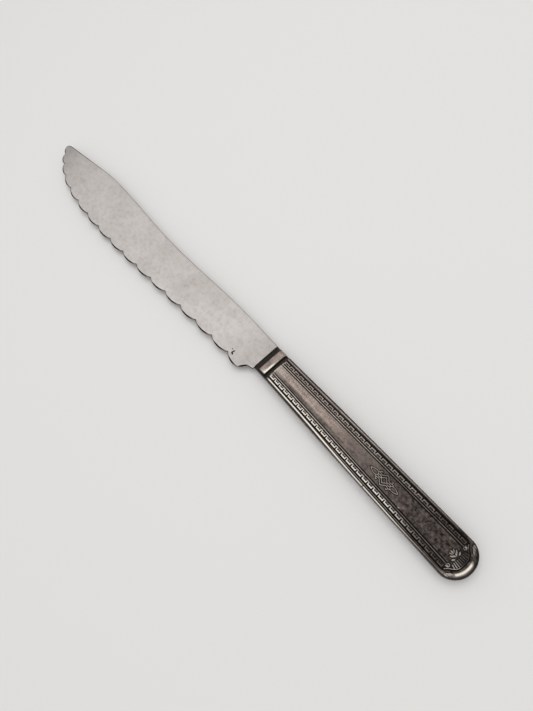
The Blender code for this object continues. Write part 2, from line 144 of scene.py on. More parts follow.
# Eased rear edge of the band in millimetres: distances from the edge, and drops, half as much at the sides
BAND_EASE = ((0.62, 0.0), (0.54, 0.02), (0.12, 0.19), (0.04, 0.25), (0.0, 0.34))
NECK_FILLET, NECK_FILLET_SIZE = 0.04 * MM, np.array((0.05, 0.1)) * MM
# Flange below the handle's mouth, across and through, spigot inside it, half sizes of the slot for the tang
FLANGE_DROP, FLANGE_EASE = np.array((0.1, 0.4)) * MM, 0.15 * MM
SPIGOT_INSET, SPIGOT_HALF_HEIGHT = 1.95 * MM, 1.82 * MM
TANG_SLOT, SLOT_CORNER = (3.6 * MM, 1.02 * MM), 0.05 * MM
# Solder between the flange and the mouth: length of the joint, gaps along and across, and its hollow outside
JOINT_LENGTH, JOINT_GAP = 0.3 * MM, 0.02 * MM
FIT_GAP, SOLDER_HOLLOW = 0.05 * MM, 0.05 * MM
# Roundest corner of a ring, as a share of its half size
ROUNDEST = 0.9
# Dark sides of the collar, as shares of its half width and half height, and the painted shade and tarnish on
# them
EDGE_SIDE_DARK, SPINE_SIDE_DARK, UPRIGHT_DARK = (0.78, 0.88), (0.95, 1.0), (0.2, 0.6)
SIDE_SHADE_AND_TARNISH, SIDE_MIDDLE = 0.97, 0.6
# Painted highlights on the band's rear edge and corner, as shares of its half width, how bright the corner's
# highlight is, and the tarnish and painted shade below which it counts as clean
BAND_EDGE_LIT = (-0.3, 0.1)
CORNER_LIT_FROM, CORNER_LEAN, CORNER_FADE = 0.6, 0.22, 0.1
CORNER_SHINE, CLEAN_BELOW = 0.8, 0.1

# Steps of the handle's struck profile in millimetres: inset from the side, from the end, height over the seam
WALL_STEPS = ((0.07, 0.07, 0.15), (0.0, 0.0, 0.24), (0.0, 0.0, 0.9), (0.0, 0.0, 1.65))
CREST_STEP = (0.45, 0.95, 2.95)
BEAD_BACK_STEPS = ((0.56, 1.3, 2.93), (0.63, 1.65, 2.86), (0.7, 2.1, 2.76), (0.76, 2.5, 2.7))
INSIDE_STEPS = ((0.8, 0.8, 0.15), (0.8, 0.8, 1.3), (1.25, 1.5, 1.75), (1.75, 2.3, 1.86))
# Steps over the bead, from the straight rows to the round end and round it, and rows across the panel
BEAD_STEPS, LEAD_STEPS, ARC_STEPS, PANEL_ROWS = 9, 12, 46, 46
# Inside of the sheet behind the field: rows across as shares of its half width, their rise in millimetres,
# and the stretch from the end over which it sets in
INSIDE_ROWS = np.array((0.8, 0.58, 0.5, 0.0, -0.5, -0.58, -0.8))
INSIDE_RISE = ((0, 0.79), (0.5, 0.79), (0.58, 0.42), (1.0, 0.0))
INSIDE_RISES = (3.5 * MM, 9.0 * MM)
# Section of the solder in the seam: inset from the side in millimetres, place between the halves from 1 to
# -1, and how far it draws in with the sides at the mouth
SEAM_SECTION = ((0.1, 1, 1.0), (0.14, 0, 1.0), (0.1, -1, 1.0), (0.78, -1, 0.0), (0.78, 1, 0.0))
SEAM_COLUMNS, SEAM_LEAD_STEPS, SEAM_ARC_STEPS = 40, 6, 30

# Heights over the seam: the bead's inner foot, and the key border beside its groove and beside the panel
BEAD_FOOT = 2.7 * MM
BORDER_LOW, BORDER_HIGH = 2.86 * MM, 3.04 * MM
BORDER_FROM_GROOVE, BORDER_RUN = 0.2 * MM, 1.6 * MM
# Where the straight rows of the field meet those of the round end, and how far the sides draw in at the mouth
JOIN = 9.8 * MM
MOUTH_DRAW, DRAW_FROM = 0.32 * MM, 70 * MM
# How far the bead's crown moves in toward the mouth
CROWN_SHIFT, CROWN_SHIFTS = 0.54 * MM, (48 * MM, 84 * MM)

# Groove round the struck field at the end in millimetres: distances from the end and from the axis
OGEE = ((3.4, 0.0), (3.42, 1.3), (3.6, 2.4), (4.1, 3.4), (4.7, 4.05), (5.3, 4.55), (5.9, 5.05), (6.4, 5.6),
        (6.8, 6.15), (7.3, 6.55), (8.0, 6.7))
OGEE_STEPS, SIDE_GROOVE_FROM, SIDE_GROOVE_POINTS = 6, 9.0 * MM, 12

# Struck lines: distances from the middle of each at which its slope starts and ends, and how far it stands up
GROOVE_SLOPE, GROOVE_REACH = (0.12 * MM, 0.27 * MM), 0.26 * MM
RIB_SLOPE, RIB_RISE = (0.06 * MM, 0.14 * MM), 0.12 * MM
LINE_SLOPE, LINE_RISE = (0.08 * MM, 0.18 * MM), 0.16 * MM
DITCH_OFFSET, DITCH_SLOPE, DITCH_DEPTH = 0.22 * MM, 0.1 * MM, 0.12 * MM
PANEL_SLOPE = (-0.14 * MM, 0.04 * MM)
# Steps of the rows beside the fine line and beside the panel's side, in millimetres
LINE_ROWS, PANEL_SIDE_ROWS = (-0.4, -0.18, -0.08, 0.08, 0.18), (-0.4, -0.34, -0.12, -0.02, 0.06)
# Keys: slope of a stroke, thickness of the top bar and of the foot as shares of a stroke, the short tick
# inside with its place along the key and its height, and how far the foot and the tick stand up inside a key
FLANK = 0.06 * MM
KEY_BAR, KEY_FOOT = 1.3, 0.8
TICK, INNER_SHARE = (1.02 * MM, 0.54 * MM), 0.64
# Plain strip at the mouth: where the lines run out before it, and its columns as shares of it
LINES_RUN_OUT, STRIP_OVERLAP, STRIP_PLACES = 0.5 * MM, 0.3 * MM, (0.9, 0.6, 0.3)
CARTOUCHE_REACH, CARTOUCHE_COLUMN, COLUMN_GAP = 7.0 * MM, 0.12 * MM, 0.05 * MM

# Ornament: height at which it counts as raised, reach of the painted shadow round it, slopes of its ridges
# and leaves as shares of their half width, width of a leaf's vein, and the least half width at a leaf's ends
RAISED, HALO, HALO_REACH = 0.12 * MM, (0.14 * MM, 0.44 * MM), 0.6 * MM
RIDGE_SLOPE, LEAF_SLOPE = (0.3, 1.0), (0.35, 1.0)
VEIN_WIDTH, LEAST_WIDTH = 0.09 * MM, 1e-9
# Lines of the lozenge in millimetres, on one quarter of it: distances along and across from its middle
LOZENGE_LINES = (
    ((0.0, 1.3), (1.4, 0.0)),
    ((0.0, 2.35), (0.75, 1.75), (1.45, 1.05), (2.1, 0.9), (2.75, 1.1), (3.0, 1.55), (2.65, 1.9), (2.3, 1.7)),
    ((1.4, 0.0), (1.9, 0.35), (2.6, 0.35), (3.1, 0.15)),
    ((3.1, 0.15), (3.5, 0.6), (4.2, 0.85), (5.2, 0.75), (6.1, 0.4), (6.8, 0.0)),
    ((3.0, 1.0), (3.5, 1.15), (3.7, 0.85)),
)
# Shell at the handle's end in millimetres: its flutes from foot to tip, and its rim
FLUTES = (((6.1, 0.0), (4.2, 0.0)), ((6.15, 0.75), (4.2, 0.85)), ((6.2, 1.5), (4.25, 1.7)),
          ((6.2, 2.25), (4.45, 2.55)), ((6.15, 3.0), (4.85, 3.35)))
SHELL_RIM = ((3.75, 0.0), (3.77, 1.3), (3.95, 2.3), (4.4, 3.15), (5.0, 3.8), (5.6, 4.3), (6.2, 4.8),
             (6.7, 5.4), (7.05, 6.0))
# Leaves behind the shell and in the corners in millimetres: foot, tip and half width
SHELL_LEAVES = (((8.2, 0.0), (10.1, 0.0), 0.36), ((7.0, 0.15), (8.3, 0.6), 0.3),
                ((7.5, 0.6), (8.9, 1.75), 0.36), ((6.7, 1.0), (7.5, 2.3), 0.36),
                ((8.4, 0.5), (9.7, 1.0), 0.26))
CORNER_LEAVES = (((5.9, 6.6), (4.0, 5.9), 0.38), ((5.3, 5.95), (3.5, 5.0), 0.38),
                 ((6.1, 7.2), (4.5, 6.9), 0.38))

# Stretches from the handle's end over which something sets in or runs out
BORDER_SETS_IN, PANEL_SETS_IN = (7.0 * MM, 8.0 * MM), (6.4 * MM, 9.4 * MM)
RIB_RUNS_OUT = (48 * MM, 74 * MM)
DARK_BORDER_SETS_IN, DARK_END_FADES = (6.9 * MM, 7.3 * MM), (5.5 * MM, 8.0 * MM)
DARK_BAND_SETS_IN, KEYS_SHOW, MOUTH_LIT = (52 * MM, 66 * MM), (14 * MM, 34 * MM), (96 * MM, 101 * MM)
FLUTES_END, END_FADES = (6.2 * MM, 6.6 * MM), (3.5 * MM, 7.0 * MM)
CROWN_LEAVES_END, CROWN_LIT = (8 * MM, 30 * MM), (9 * MM, 20 * MM)
# Stretches from the axis over which the edge's side sets in: on the field, on the bead and in their details
EDGE_SIDE, BEAD_EDGE_SIDE, DARK_BAND = (-2 * MM, 2 * MM), (-3 * MM, 3 * MM), (0.5 * MM, 1.5 * MM)
WORN_SIDE, FLUTES_CLEAR = (-2 * MM, 4 * MM), (-0.4 * MM, 2.2 * MM)
# Two levels, and the stretch over which the first goes over to the second
# Rubbing and painted sheen of the raised places, rising toward the mouth
RUB_AND_SHEEN_ALONG = ((0.1, 1.0), (14 * MM, 38 * MM))
SPINE_WEAR = ((0.42, 0.18), (58 * MM, 78 * MM))
LINE_RUB_AND_SHEEN = ((0.3, 0.63), (34 * MM, 54 * MM))
ORNAMENT_RUB_AND_SHEEN = ((0.3, 0.6), (-3 * MM, 2 * MM))
DITCH_HALF_WIDTH = ((0.22 * MM, 0.14 * MM), (30 * MM, 52 * MM))

# Insets from the side: where the border is dark, where its keys are less rubbed, and the bead's dark foot
DARK_BORDER_FROM, DARK_BORDER_TO = (1.6 * MM, 1.75 * MM), (4.05 * MM, 4.2 * MM)
INNER_KEYS, INNER_KEY_LOSS = (2.2 * MM, 2.9 * MM), 0.35
DARK_FOOT, DARK_FOOT_MORE, DARK_FOOT_FADE = 0.86 * MM, 0.3 * MM, 0.14 * MM
# Broad tarnish and painted dark reflection on the handle: distances from its end in millimetres and shares
FILM_AND_REFLECTION_LEVELS = ((20, 0.95), (32, 0.92), (42, 0.82), (52, 0.65), (62, 0.36), (72, 0.0))
# Shares of tarnish on the field, partly painted dark reflection at the end and on the panel's edge side, and
# of what keeps them off
END_TARNISH_AND_REFLECTION, FOOT_TARNISH, PANEL_BAND_REFLECTION, FLUTE_TARNISH = 0.97, 0.95, 0.72, 0.55
FIELD_CLEARED, RAISED_CLEARED, KEYS_CLEARED = 0.85, 0.75, 0.55
# Shine of the rib, painted highlight on the panel at the mouth, and a spot rubbed bright beside the panel
RIB_SHINE, MOUTH_HIGHLIGHT = 0.5, 0.22
WORN_SPOT, SPOT_SIZE, SPOT_SHINE = (31.5 * MM, 3.3 * MM), (0.2 * MM, 0.5 * MM), 0.9

# Painted highlight along the bead where it is rubbed: its inset on the edge's side and on the spine's side,
# with what the round end and the mouth add to it, its width, how strongly it is lit, and where it stops
# before the mouth
EDGE_CROWN, EDGE_CROWN_END, EDGE_CROWN_MOUTH = 0.26 * MM, 0.35 * MM, 0.62 * MM
SPINE_CROWN, SPINE_CROWN_MOUTH = 0.6 * MM, 0.28 * MM
CROWN_WIDTH, CROWN_HIGHLIGHT, CROWN_STOPS = (0.1 * MM, 0.25 * MM), 1.25, (0.4 * MM, 1.0 * MM)
# Painted highlight at the round end: its inset and width in millimetres, and its reach from the axis
GLINT_INSET, GLINT_WIDTH = 1.8, (0.32, 0.62)
GLINT_FROM, GLINT_TO = (-3.6 * MM, -1.4 * MM), (4.4 * MM, 5.8 * MM)
# Small nick in the bead on the edge's side
NICK_U, NICK_SIZE, NICK_LOSS = 45.6 * MM, (0.15 * MM, 0.4 * MM), 0.8
# Dark of the bead: heights in millimetres at which its side darkens with painted shade and dark reflection
# and clears, and how dark it is there
UNDER_BEAD, OVER_BEAD = (0.8, 1.65), (2.4, 2.8)
WALL_SHADE, UNDER_BEAD_SHADE = 0.5, 0.96
# Dark flanks beside the crown: painted dark reflection on the outer one, a dark foot on the inner one
OUTER_FLANK, INNER_FLANK, INNER_FLANK_DARK = (-0.32 * MM, -0.14 * MM), (0.12 * MM, 0.24 * MM), 0.98
# Dark outer rim of the round end, and painted shadow round the ornament
END_RIM, END_RIM_DARK, HALO_SHADE = (0.9, 1.3), 0.75, 0.6
# Broad tarnish and painted dark reflection on the bead, darkening on its spine's side at the mouth, and its
# black place at the end of that side
BEAD_FILM_AND_REFLECTION, SPINE_MOUTH_DARKENING, BLACK_PLACE = 0.85, 0.4, (14 * MM, -2 * MM)
BEAD_CLEARED, LIT_CLEARED = 0.95, 0.6
# How clear the ornament on the bead is, and how bright its rubbing and painted sheen are, on the spine's side
# and on the edge's side
BEAD_ORNAMENT_CLEARED, BEAD_ORNAMENT_SHEEN = (0.5, 0.8), (0.4, 0.9)
# Shares of tarnish with painted shade, of film with painted dark reflection and of wear with painted
# highlight, where nothing shows
INSIDE_FINISH = (1.0, 0.0, 0.0)

# Inputs of a node that mixes two colours
SHARE, FIRST, SECOND = 0, 6, 7
# Size of the cloth, and the lamp's size, place and aim
CLOTH_HALF = 6.0
LAMP_SIZE, LAMP_PLACE, LAMP_AIM = 0.7, (0.03, -0.15, 0.88), Vector((-0.05, 0, 0))
SENSOR_WIDTH, CLIP_START = 36.0, 0.01
# Brightness of the room at angles from its dark place over the handle, and how much the edge's side gains
DARK_PLACE = (-0.03, -0.15, 0.988)
ROOM_LEVELS = ((0, 0.03), (4, 0.07), (7, 0.25), (10, 0.7), (13, 1.0), (20, 1.08), (34, 1.03), (46, 0.9),
               (52, 0.7), (58, 0.52), (68, 0.66), (90, 0.74))
ROOM_SLOPE = 0.45


def linear(hex_colour):
    """Linear red, green and blue of an sRGB hex colour."""
    channels = [int(hex_colour[i:i + 2], 16) / 255 for i in (1, 3, 5)]
    return tuple(c / 12.92 if c <= 0.04045 else ((c + 0.055) / 1.055) ** 2.4 for c in channels)


def size_setting(name, description, default):
    """Length that a user may change."""
    return FloatProperty(name=name, description=description, default=default, min=0.0,
                         subtype="DISTANCE", unit="LENGTH", precision=5)


def colour_setting(name, description, hex_colour):
    """Colour that a user may change."""
    return FloatVectorProperty(name=name, description=description, default=linear(hex_colour),
                               min=0.0, max=1.0, subtype="COLOR")


class KnifeBlade(bpy.types.PropertyGroup):
    """Sizes of the blade."""

    length: size_setting("Length", "From the bolster to the tip", BLADE_HIGH.x - ORIGIN[0])
    tang_length: size_setting("Tang", "Length of the tang inside the handle", ORIGIN[0] - BLADE_LOW.x)
    spine_thickness: size_setting("Spine", "Thickness of the spine at the root", 1.2 * MM)
    edge_thickness: size_setting("Edge", "Thickness behind the cutting edge", 0.35 * MM)
    scallop_pitch: size_setting("Scallop pitch", "Length of one lobe of the edge", 11.4 * MM)
    scallop_depth: size_setting("Scallop depth", "How far a lobe stands out from its cusps", 1.45 * MM)
    ground_edge: size_setting("Ground edge", "Width of the bevel along the lobes", 0.6 * MM)
    eased_spine: size_setting("Eased spine", "Width of the rounding along the spine", 0.2 * MM)
    pit_depth: size_setting("Pit depth", "Depth of the corrosion pit near the heel", 0.22 * MM)


class KnifeBolster(bpy.types.PropertyGroup):
    """Sizes of the collar between the blade and the handle."""

    width: size_setting("Width", "Across the collar", BOLSTER_HIGH.y - BOLSTER_LOW.y)
    thickness: size_setting("Thickness", "Through the collar's band", 6.6 * MM)
    cove_length: size_setting("Cove", "Length of the hollow slope behind the blade", 2.9 * MM)
    cove_foot: size_setting("Cove foot", "Thickness of the collar at the blade", 3.2 * MM)
    band_length: size_setting("Band", "Length of the plain band", 3.3 * MM)
    neck_length: size_setting("Neck", "Length of the groove behind the band", 1.1 * MM)
    neck_depth: size_setting("Neck depth", "Depth of the groove behind the band", 0.6 * MM)
    flange_length: size_setting("Flange", "Length of the flange at the handle's mouth", 0.7 * MM)
    corner: size_setting("Corner", "Rounding of the collar's corners", 1.9 * MM)


class KnifeHandle(bpy.types.PropertyGroup):
    """Sizes of the struck halves of the handle."""

    mouth_width: size_setting("Mouth width", "Width at the bolster", 14.2 * MM)
    end_width: size_setting("End width", "Width at the round end's shoulders", UPPER_HIGH.y - UPPER_LOW.y)
    end_round: size_setting("Round end", "Length of the round end", 7.0 * MM)
    lean: size_setting("Lean", "How much further in the ornament runs at the mouth", 0.55 * MM)
    rib_inset: size_setting("Rib inset", "From the side to the fine rib behind the bead", 1.08 * MM)
    groove_inset: size_setting("Groove inset", "From the side to the groove behind the rib", 1.48 * MM)
    groove_depth: size_setting("Groove depth", "Depth of that groove", 0.34 * MM)
    key_foot: size_setting("Key foot", "From the side to the inner side of the key border", 3.12 * MM)
    key_height: size_setting("Key height", "Across the key border", 1.24 * MM)
    key_width: size_setting("Key width", "Along one key", 2.3 * MM)
    key_stroke: size_setting("Key stroke", "Width of the raised strokes", 0.33 * MM)
    key_rise: size_setting("Key rise", "How far the strokes stand up", 0.18 * MM)
    key_count: IntProperty(name="Keys", description="Keys in each border", default=33, min=1)
    key_pitch: size_setting("Key pitch", "From one key to the next", 2.891 * MM)
    key_from_end: size_setting("Keys from the end", "Where the borders start", 8.05 * MM)
    mouth_strip: size_setting("Mouth strip", "Plain strip at the mouth", 0.5 * MM)
    line_inset: size_setting("Line inset", "From the side to the fine line along the panel", 3.87 * MM)
    panel_inset: size_setting("Panel inset", "From the side to the panel", 4.5 * MM)
    panel_drop: size_setting("Panel drop", "Panel below the top of its ornament", 0.16 * MM)
    panel_crown: size_setting("Panel crown", "How far the panel swells between its sides", 0.12 * MM)
    cartouche_from_end: size_setting("Cartouche", "From the end to the middle of the cartouche", 41.75 * MM)


class KnifeFinishes(bpy.types.PropertyGroup):
    """Colours of the metals and of the filling."""

    steel: colour_setting("Steel", "Satin-ground stainless steel", "#dcd7d3")
    steel_stain: colour_setting("Steel stain", "Dull stains on the steel", "#a69a93")
    # The pit's colour also paints the shade along the blade's rim
    pit: colour_setting("Pit", "Black rust in the pit", "#1b1512")
    plate: colour_setting("Silver plate", "Toned silver plate", "#c2b0a6")
    # The worn plate's colour also paints the highlights
    worn_plate_and_highlight: colour_setting("Worn plate", "Silver plate rubbed bright", "#fbf4e8")
    # The tarnish colour also paints shade and dark reflection on the plate
    tarnish_and_shade: colour_setting("Tarnish", "Black tarnish in the hollows", "#0f0c0a")
    solder: colour_setting("Solder", "Soft solder", "#7a736d")
    cement: colour_setting("Cement", "Pitch cement inside the handle", "#6e5a48")


class KnifeStage(bpy.types.PropertyGroup):
    """Camera, lamps and cloth."""

    camera_place: FloatVectorProperty(
        name="Camera place", description="Where the camera stands",
        default=(-0.121154, 0.019145, 0.212050), subtype="XYZ", unit="LENGTH")
    camera_turn: FloatVectorProperty(
        name="Camera turn", description="How the camera is turned",
        default=np.radians((21.744, 10.664, -130.116)).tolist(), subtype="EULER", unit="ROTATION")
    lens: FloatProperty(name="Lens", description="Focal length", default=27.04, unit="CAMERA")
    cloth: colour_setting("Cloth", "Bleached cotton under the knife", "#d5d4d2")
    room_light: FloatProperty(name="Room light", description="Brightness of the light all round", default=1.0)
    lamp_power: FloatProperty(name="Lamp", description="Power of the soft lamp", default=3.0, unit="POWER")


def smooth_step(low, high, value):
    """Rise from 0 at low to 1 at high, level at both ends."""
    share = np.clip((value - low) / (high - low), 0.0, 1.0)
    return share * share * (3 - 2 * share)


def fade(low, high, value):
    """Fall from 1 at low to 0 at high, level at both ends."""
    return 1 - smooth_step(low, high, value)


def blend(levels, share):
    """Level at a share of the way from one level to another."""
    return levels[0] + (levels[1] - levels[0]) * share


def ease(levels, stretch, value):
    """Go over from one level to another along a stretch."""
    return blend(levels, smooth_step(*stretch, value))


def bezier(start, pull_start, pull_end, end, steps):
    """Points of a cubic curve after its start."""
    t = np.linspace(0, 1, steps + 1)[1:, None]
    shares = ((1 - t) ** 3, 3 * (1 - t) ** 2 * t, 3 * (1 - t) * t ** 2, t ** 3)
    return sum(share * np.asarray(point) for share, point in zip(shares, (start, pull_start, pull_end, end)))


def level_curve(start, end, steps):
    """Curve that leaves its start and reaches its end running along the knife."""
    pull = np.array(((end[0] - start[0]) * LEVEL_PULL, 0.0))
    return bezier(start, start + pull, end - pull, end, steps)


def bulge(start, end, depth, steps):
    """Arc after its start that stands out by depth on the left of the way from start to end."""
    chord = end - start
    span = np.hypot(*chord)
    side = np.array((-chord[1], chord[0])) / span
    radius = span * span / (8 * depth) + depth / 2
    centre = (start + end) / 2 + side * (depth - radius)
    half_angle = math.asin(min(1.0, span / (2 * radius)))
    angles = half_angle * (2 * np.arange(1, steps + 1) / steps - 1)
    return centre + radius * (np.outer(np.cos(angles), side) + np.outer(np.sin(angles), chord / span))


def flowing_line(points, steps):
    """Smooth line through points."""
    points = np.asarray(points, float)
    padded = np.vstack((2 * points[0] - points[1], points, 2 * points[-1] - points[-2]))
    line = [points[:1]]
    for before, start, end, after in zip(padded, padded[1:], padded[2:], padded[3:]):
        line.append(bezier(start, start + (end - before) / 6, end - (after - start) / 6, end, steps))
    return np.vstack(line)


def distance_to_line(points, line):
    """Distance of each point from a line of straight pieces."""
    nearest = np.full(len(points), np.inf)
    for start, end in zip(line, line[1:]):
        run = end - start
        share = np.clip((points - start) @ run / (run @ run), 0.0, 1.0)
        offset = points - start - share[:, None] * run
        nearest = np.minimum(nearest, np.hypot(offset[:, 0], offset[:, 1]))
    return nearest


def inside(points, loop):
    """Whether each point lies inside a closed loop."""
    hits = np.zeros(len(points), bool)
    for start, end in zip(loop, np.roll(loop, -1, axis=0)):
        if start[1] == end[1]:
            continue
        crosses = (start[1] > points[:, 1]) != (end[1] > points[:, 1])
        at = start[0] + (points[:, 1] - start[1]) * (end[0] - start[0]) / (end[1] - start[1])
        hits ^= crosses & (points[:, 0] < at)
    return hits


def add_piece(name, points, faces, material, sharp_angle, node, values=None):
    """Closed mesh in the knife's frame, put in its place, that stands for a node of the frame."""
    mesh = bpy.data.meshes.new(name)
    mesh.from_pydata((np.asarray(points) + ORIGIN).tolist(), [], faces)
    bm = bmesh.new()
    bm.from_mesh(mesh)
    bmesh.ops.recalc_face_normals(bm, faces=bm.faces)
    bm.to_mesh(mesh)
    bm.free()
    for title, numbers in (values or {}).items():
        attribute = mesh.attributes.new(title, "FLOAT", "POINT")
        attribute.data.foreach_set("value", np.asarray(numbers, np.float32))
    mesh.shade_smooth()
    mesh.set_sharp_from_angle(angle=math.radians(sharp_angle))
    mesh.materials.append(material)
    piece = bpy.data.objects.new(name, mesh)
    bpy.context.scene.collection.objects.link(piece)
    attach(piece, BODY)
    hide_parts(node)
    return piece


def loft_faces(rings, points_per_ring, closed):
    """Faces between rings of points, and from the last ring to the first where the loft is closed."""
    faces = []
    for ring in range(rings if closed else rings - 1):
        near = ring * points_per_ring
        far = (ring + 1) % rings * points_per_ring
        for i in range(points_per_ring):
            j = (i + 1) % points_per_ring
            faces.append((near + i, near + j, far + j, far + i))
    return faces


def scallop_cusps(blade):
    """Cusps of the edge, from the first one to the tip: even lobes that shorten round the tip."""
    first = np.array(FIRST_CUSP)
    belly = np.array((blade.length - BELLY_FROM_TIP, BELLY_Y))
    tip = np.array((blade.length, TIP_Y))
    rise = belly - first
    fall = tip - belly
    before_belly = belly - (rise[0] * BELLY_PULLS[0], 0)
    past_belly = belly + (fall[0] * BELLY_PULLS[1], 0)
    guide = np.vstack((first, bezier(first, first + rise * HEEL_PULL, before_belly, belly, GUIDE_STEPS),
                       bezier(belly, past_belly, tip - fall * TIP_PULL, tip, GUIDE_STEPS)))
    steps = np.hypot(*np.diff(guide, axis=0).T)
    reach = np.concatenate(((0,), np.cumsum(steps)))
    tip_shares = [1 - (lobe / (TIP_LOBES + 2)) ** 2 for lobe in range(1, TIP_LOBES + 1)]
    even_lobes = round(reach[-1] / blade.scallop_pitch - sum(tip_shares))
    shares = np.cumsum([0.0] + [1.0] * even_lobes + tip_shares)
    places = shares / shares[-1] * reach[-1]
    return np.column_stack([np.interp(places, reach, guide[:, axis]) for axis in (0, 1)])


def edge_lobes(blade, cusps):
    """Lobes of the edge from the heel to the tip, one line of points each."""
    lobes = [bezier(HEEL_FOOT, HEEL_FOOT + HEEL_LEAN, HEEL_TOP - HEEL_LEAN, HEEL_TOP, steps=10),
             bulge(HEEL_TOP, cusps[0], HEEL_LOBE_DEPTH, LOBE_STEPS)]
    full = blade.scallop_pitch * FULL_LOBE
    for start, end in zip(cusps, cusps[1:]):
        share = min(1.0, np.hypot(*(end - start)) / full) ** FLATTENING
        lobes.append(bulge(start, end, blade.scallop_depth * share, LOBE_STEPS))
    return lobes


def spine_line(blade, tip):
    """Back of the blade from the tip to the root: a round tip, the clip, the waist and the shoulder."""
    clip_end = np.array((blade.length - TIP_ROUND[0], TIP_ROUND[1]))
    clip = np.array((blade.length - CLIP_FROM_TIP, CLIP_Y))
    waist = np.array((blade.length - WAIST_FROM_TIP, WAIST_Y))
    shoulder = np.array(SHOULDER)
    root = np.array((ROOT_GAP, -ROOT_HALF))
    run = clip - clip_end
    down, back = TIP_ROUND_PULLS * (clip_end - tip)[::-1]
    before_clip_end = clip_end - run / run[0] * back
    before_clip = clip - (run[0] * CLIP_PULLS[1], 0)
    return np.vstack((bezier(tip, tip + (0, down), before_clip_end, clip_end, steps=12),
                      bezier(clip_end, clip_end + run * CLIP_PULLS[0], before_clip, clip, steps=30),
                      level_curve(clip, waist, steps=36), level_curve(waist, shoulder, steps=36),
                      level_curve(shoulder, root, steps=16)))


def blade_outline(blade):
    """Outline of the blade and its tang, with the width of the bevel and its painted shade at each point."""
    root = np.array((ROOT_GAP, ROOT_HALF))
    cusps = scallop_cusps(blade)
    heel = bezier(root, root + (0, HEEL_FOOT_RISE), HEEL_FOOT - HEEL_LEAN * 2, HEEL_FOOT, steps=8)
    lobes = edge_lobes(blade, cusps)
    near, far = TANG_HALF_WIDTHS
    end = -blade.tang_length
    tang = ((ROOT_GAP, -near), (-TANG_STRAIGHT, -near), (end, -far),
            (end, far), (-TANG_STRAIGHT, near), (ROOT_GAP, near))
    loop = np.vstack((root, heel, *lobes, spine_line(blade, cusps[-1]), tang))
    loop[:, 1] = np.minimum(loop[:, 1], BLADE_HIGH.y - ORIGIN[1])
    edge = slice(1 + len(heel), 1 + len(heel) + sum(len(line) for line in lobes))
    shares = np.concatenate([np.linspace(0, 1, len(line) + 1)[1:] for line in lobes])
    lobe_shades = np.interp(shares, *zip(*LOBE_SHADES))
    lobe_shades *= 1 - TIP_LOBE_LOSS * smooth_step(*LOBE_SHADE_FADES, loop[edge, 0])
    near_tip = smooth_step(*RIM_SHADE_RISES, loop[:, 0])
    bevels = blade.eased_spine * (1 + near_tip)
    bevels[edge] = blade.ground_edge * (GROUND_WIDTHS[0] + GROUND_WIDTHS[1] * lobe_shades)
    # Painted shade along the rim, darkest along the cutting edge
    painted_shade_and_darkening = SPINE_SHADE + TIP_RIM_SHADE * near_tip
    painted_shade_and_darkening[:edge.stop] = EDGE_SHADE
    painted_shade_and_darkening[edge] *= CUSP_SHADE + (1 - CUSP_SHADE) * lobe_shades
    return loop, bevels, painted_shade_and_darkening


def inset_loop(loop, widths):
    """Loop set in from a loop that runs with its inside on the right."""
    ahead = np.roll(loop, -1, axis=0) - loop
    ahead /= np.hypot(*ahead.T)[:, None]
    back = np.roll(ahead, 1, axis=0)
    normal_ahead = np.column_stack((ahead[:, 1], -ahead[:, 0]))
    normal_back = np.column_stack((back[:, 1], -back[:, 0]))
    middle = normal_ahead + normal_back
    middle /= np.hypot(*middle.T)[:, None]
    stretch = 1 / np.clip((middle * normal_ahead).sum(1), 1 / MITRE_LIMIT, 1)
    return loop + middle * (widths * stretch)[:, None]


def blade_half_thickness(blade, points):
    """Half the thickness of the wedge-rolled strip: thinner toward the edge and toward the tip."""
    across = (points[:, 1] - SHOULDER[1]) / (BELLY_Y + blade.scallop_depth - SHOULDER[1])
    along = points[:, 0] / blade.length
    wedge = (blade.spine_thickness - blade.edge_thickness) * across
    return (blade.spine_thickness - wedge - TIP_THINNING * along) / 2


def pit_share(points):
    """How deep each point lies in the corrosion pit near the heel, from 0 to 1."""
    share = np.zeros(len(points))
    for x, y, half_long, half_wide in PIT_BLOTS:
        away = np.hypot((points[:, 0] / MM - x) / half_long, (points[:, 1] / MM - y) / half_wide)
        share = np.maximum(share, fade(*PIT_WALL, away))
    return share


def blade_face_points(loop):
    """Points inside the blade's face: an even net, closer round the pit."""
    low, high = loop.min(0), loop.max(0)
    net = []
    for row, y in enumerate(np.arange(low[1], high[1], FACE_ROW)):
        shift = (row % 2) * FACE_COLUMN / 2
        net += [(x, y) for x in np.arange(low[0] + shift, high[0], FACE_COLUMN)]
    net = np.array(net)
    off_pit = (net <= (PIT_LOW - PIT_MARGIN) * MM) | (net >= (PIT_HIGH + PIT_MARGIN) * MM)
    fine = np.mgrid[PIT_LOW[0]:PIT_HIGH[0]:PIT_NET, PIT_LOW[1]:PIT_HIGH[1]:PIT_NET].reshape(2, -1).T * MM
    points = np.vstack((net[off_pit.any(1)], fine))
    clear = distance_to_line(points, np.vstack((loop, loop[:1]))) > RIM_MARGIN
    return points[inside(points, loop) & clear]


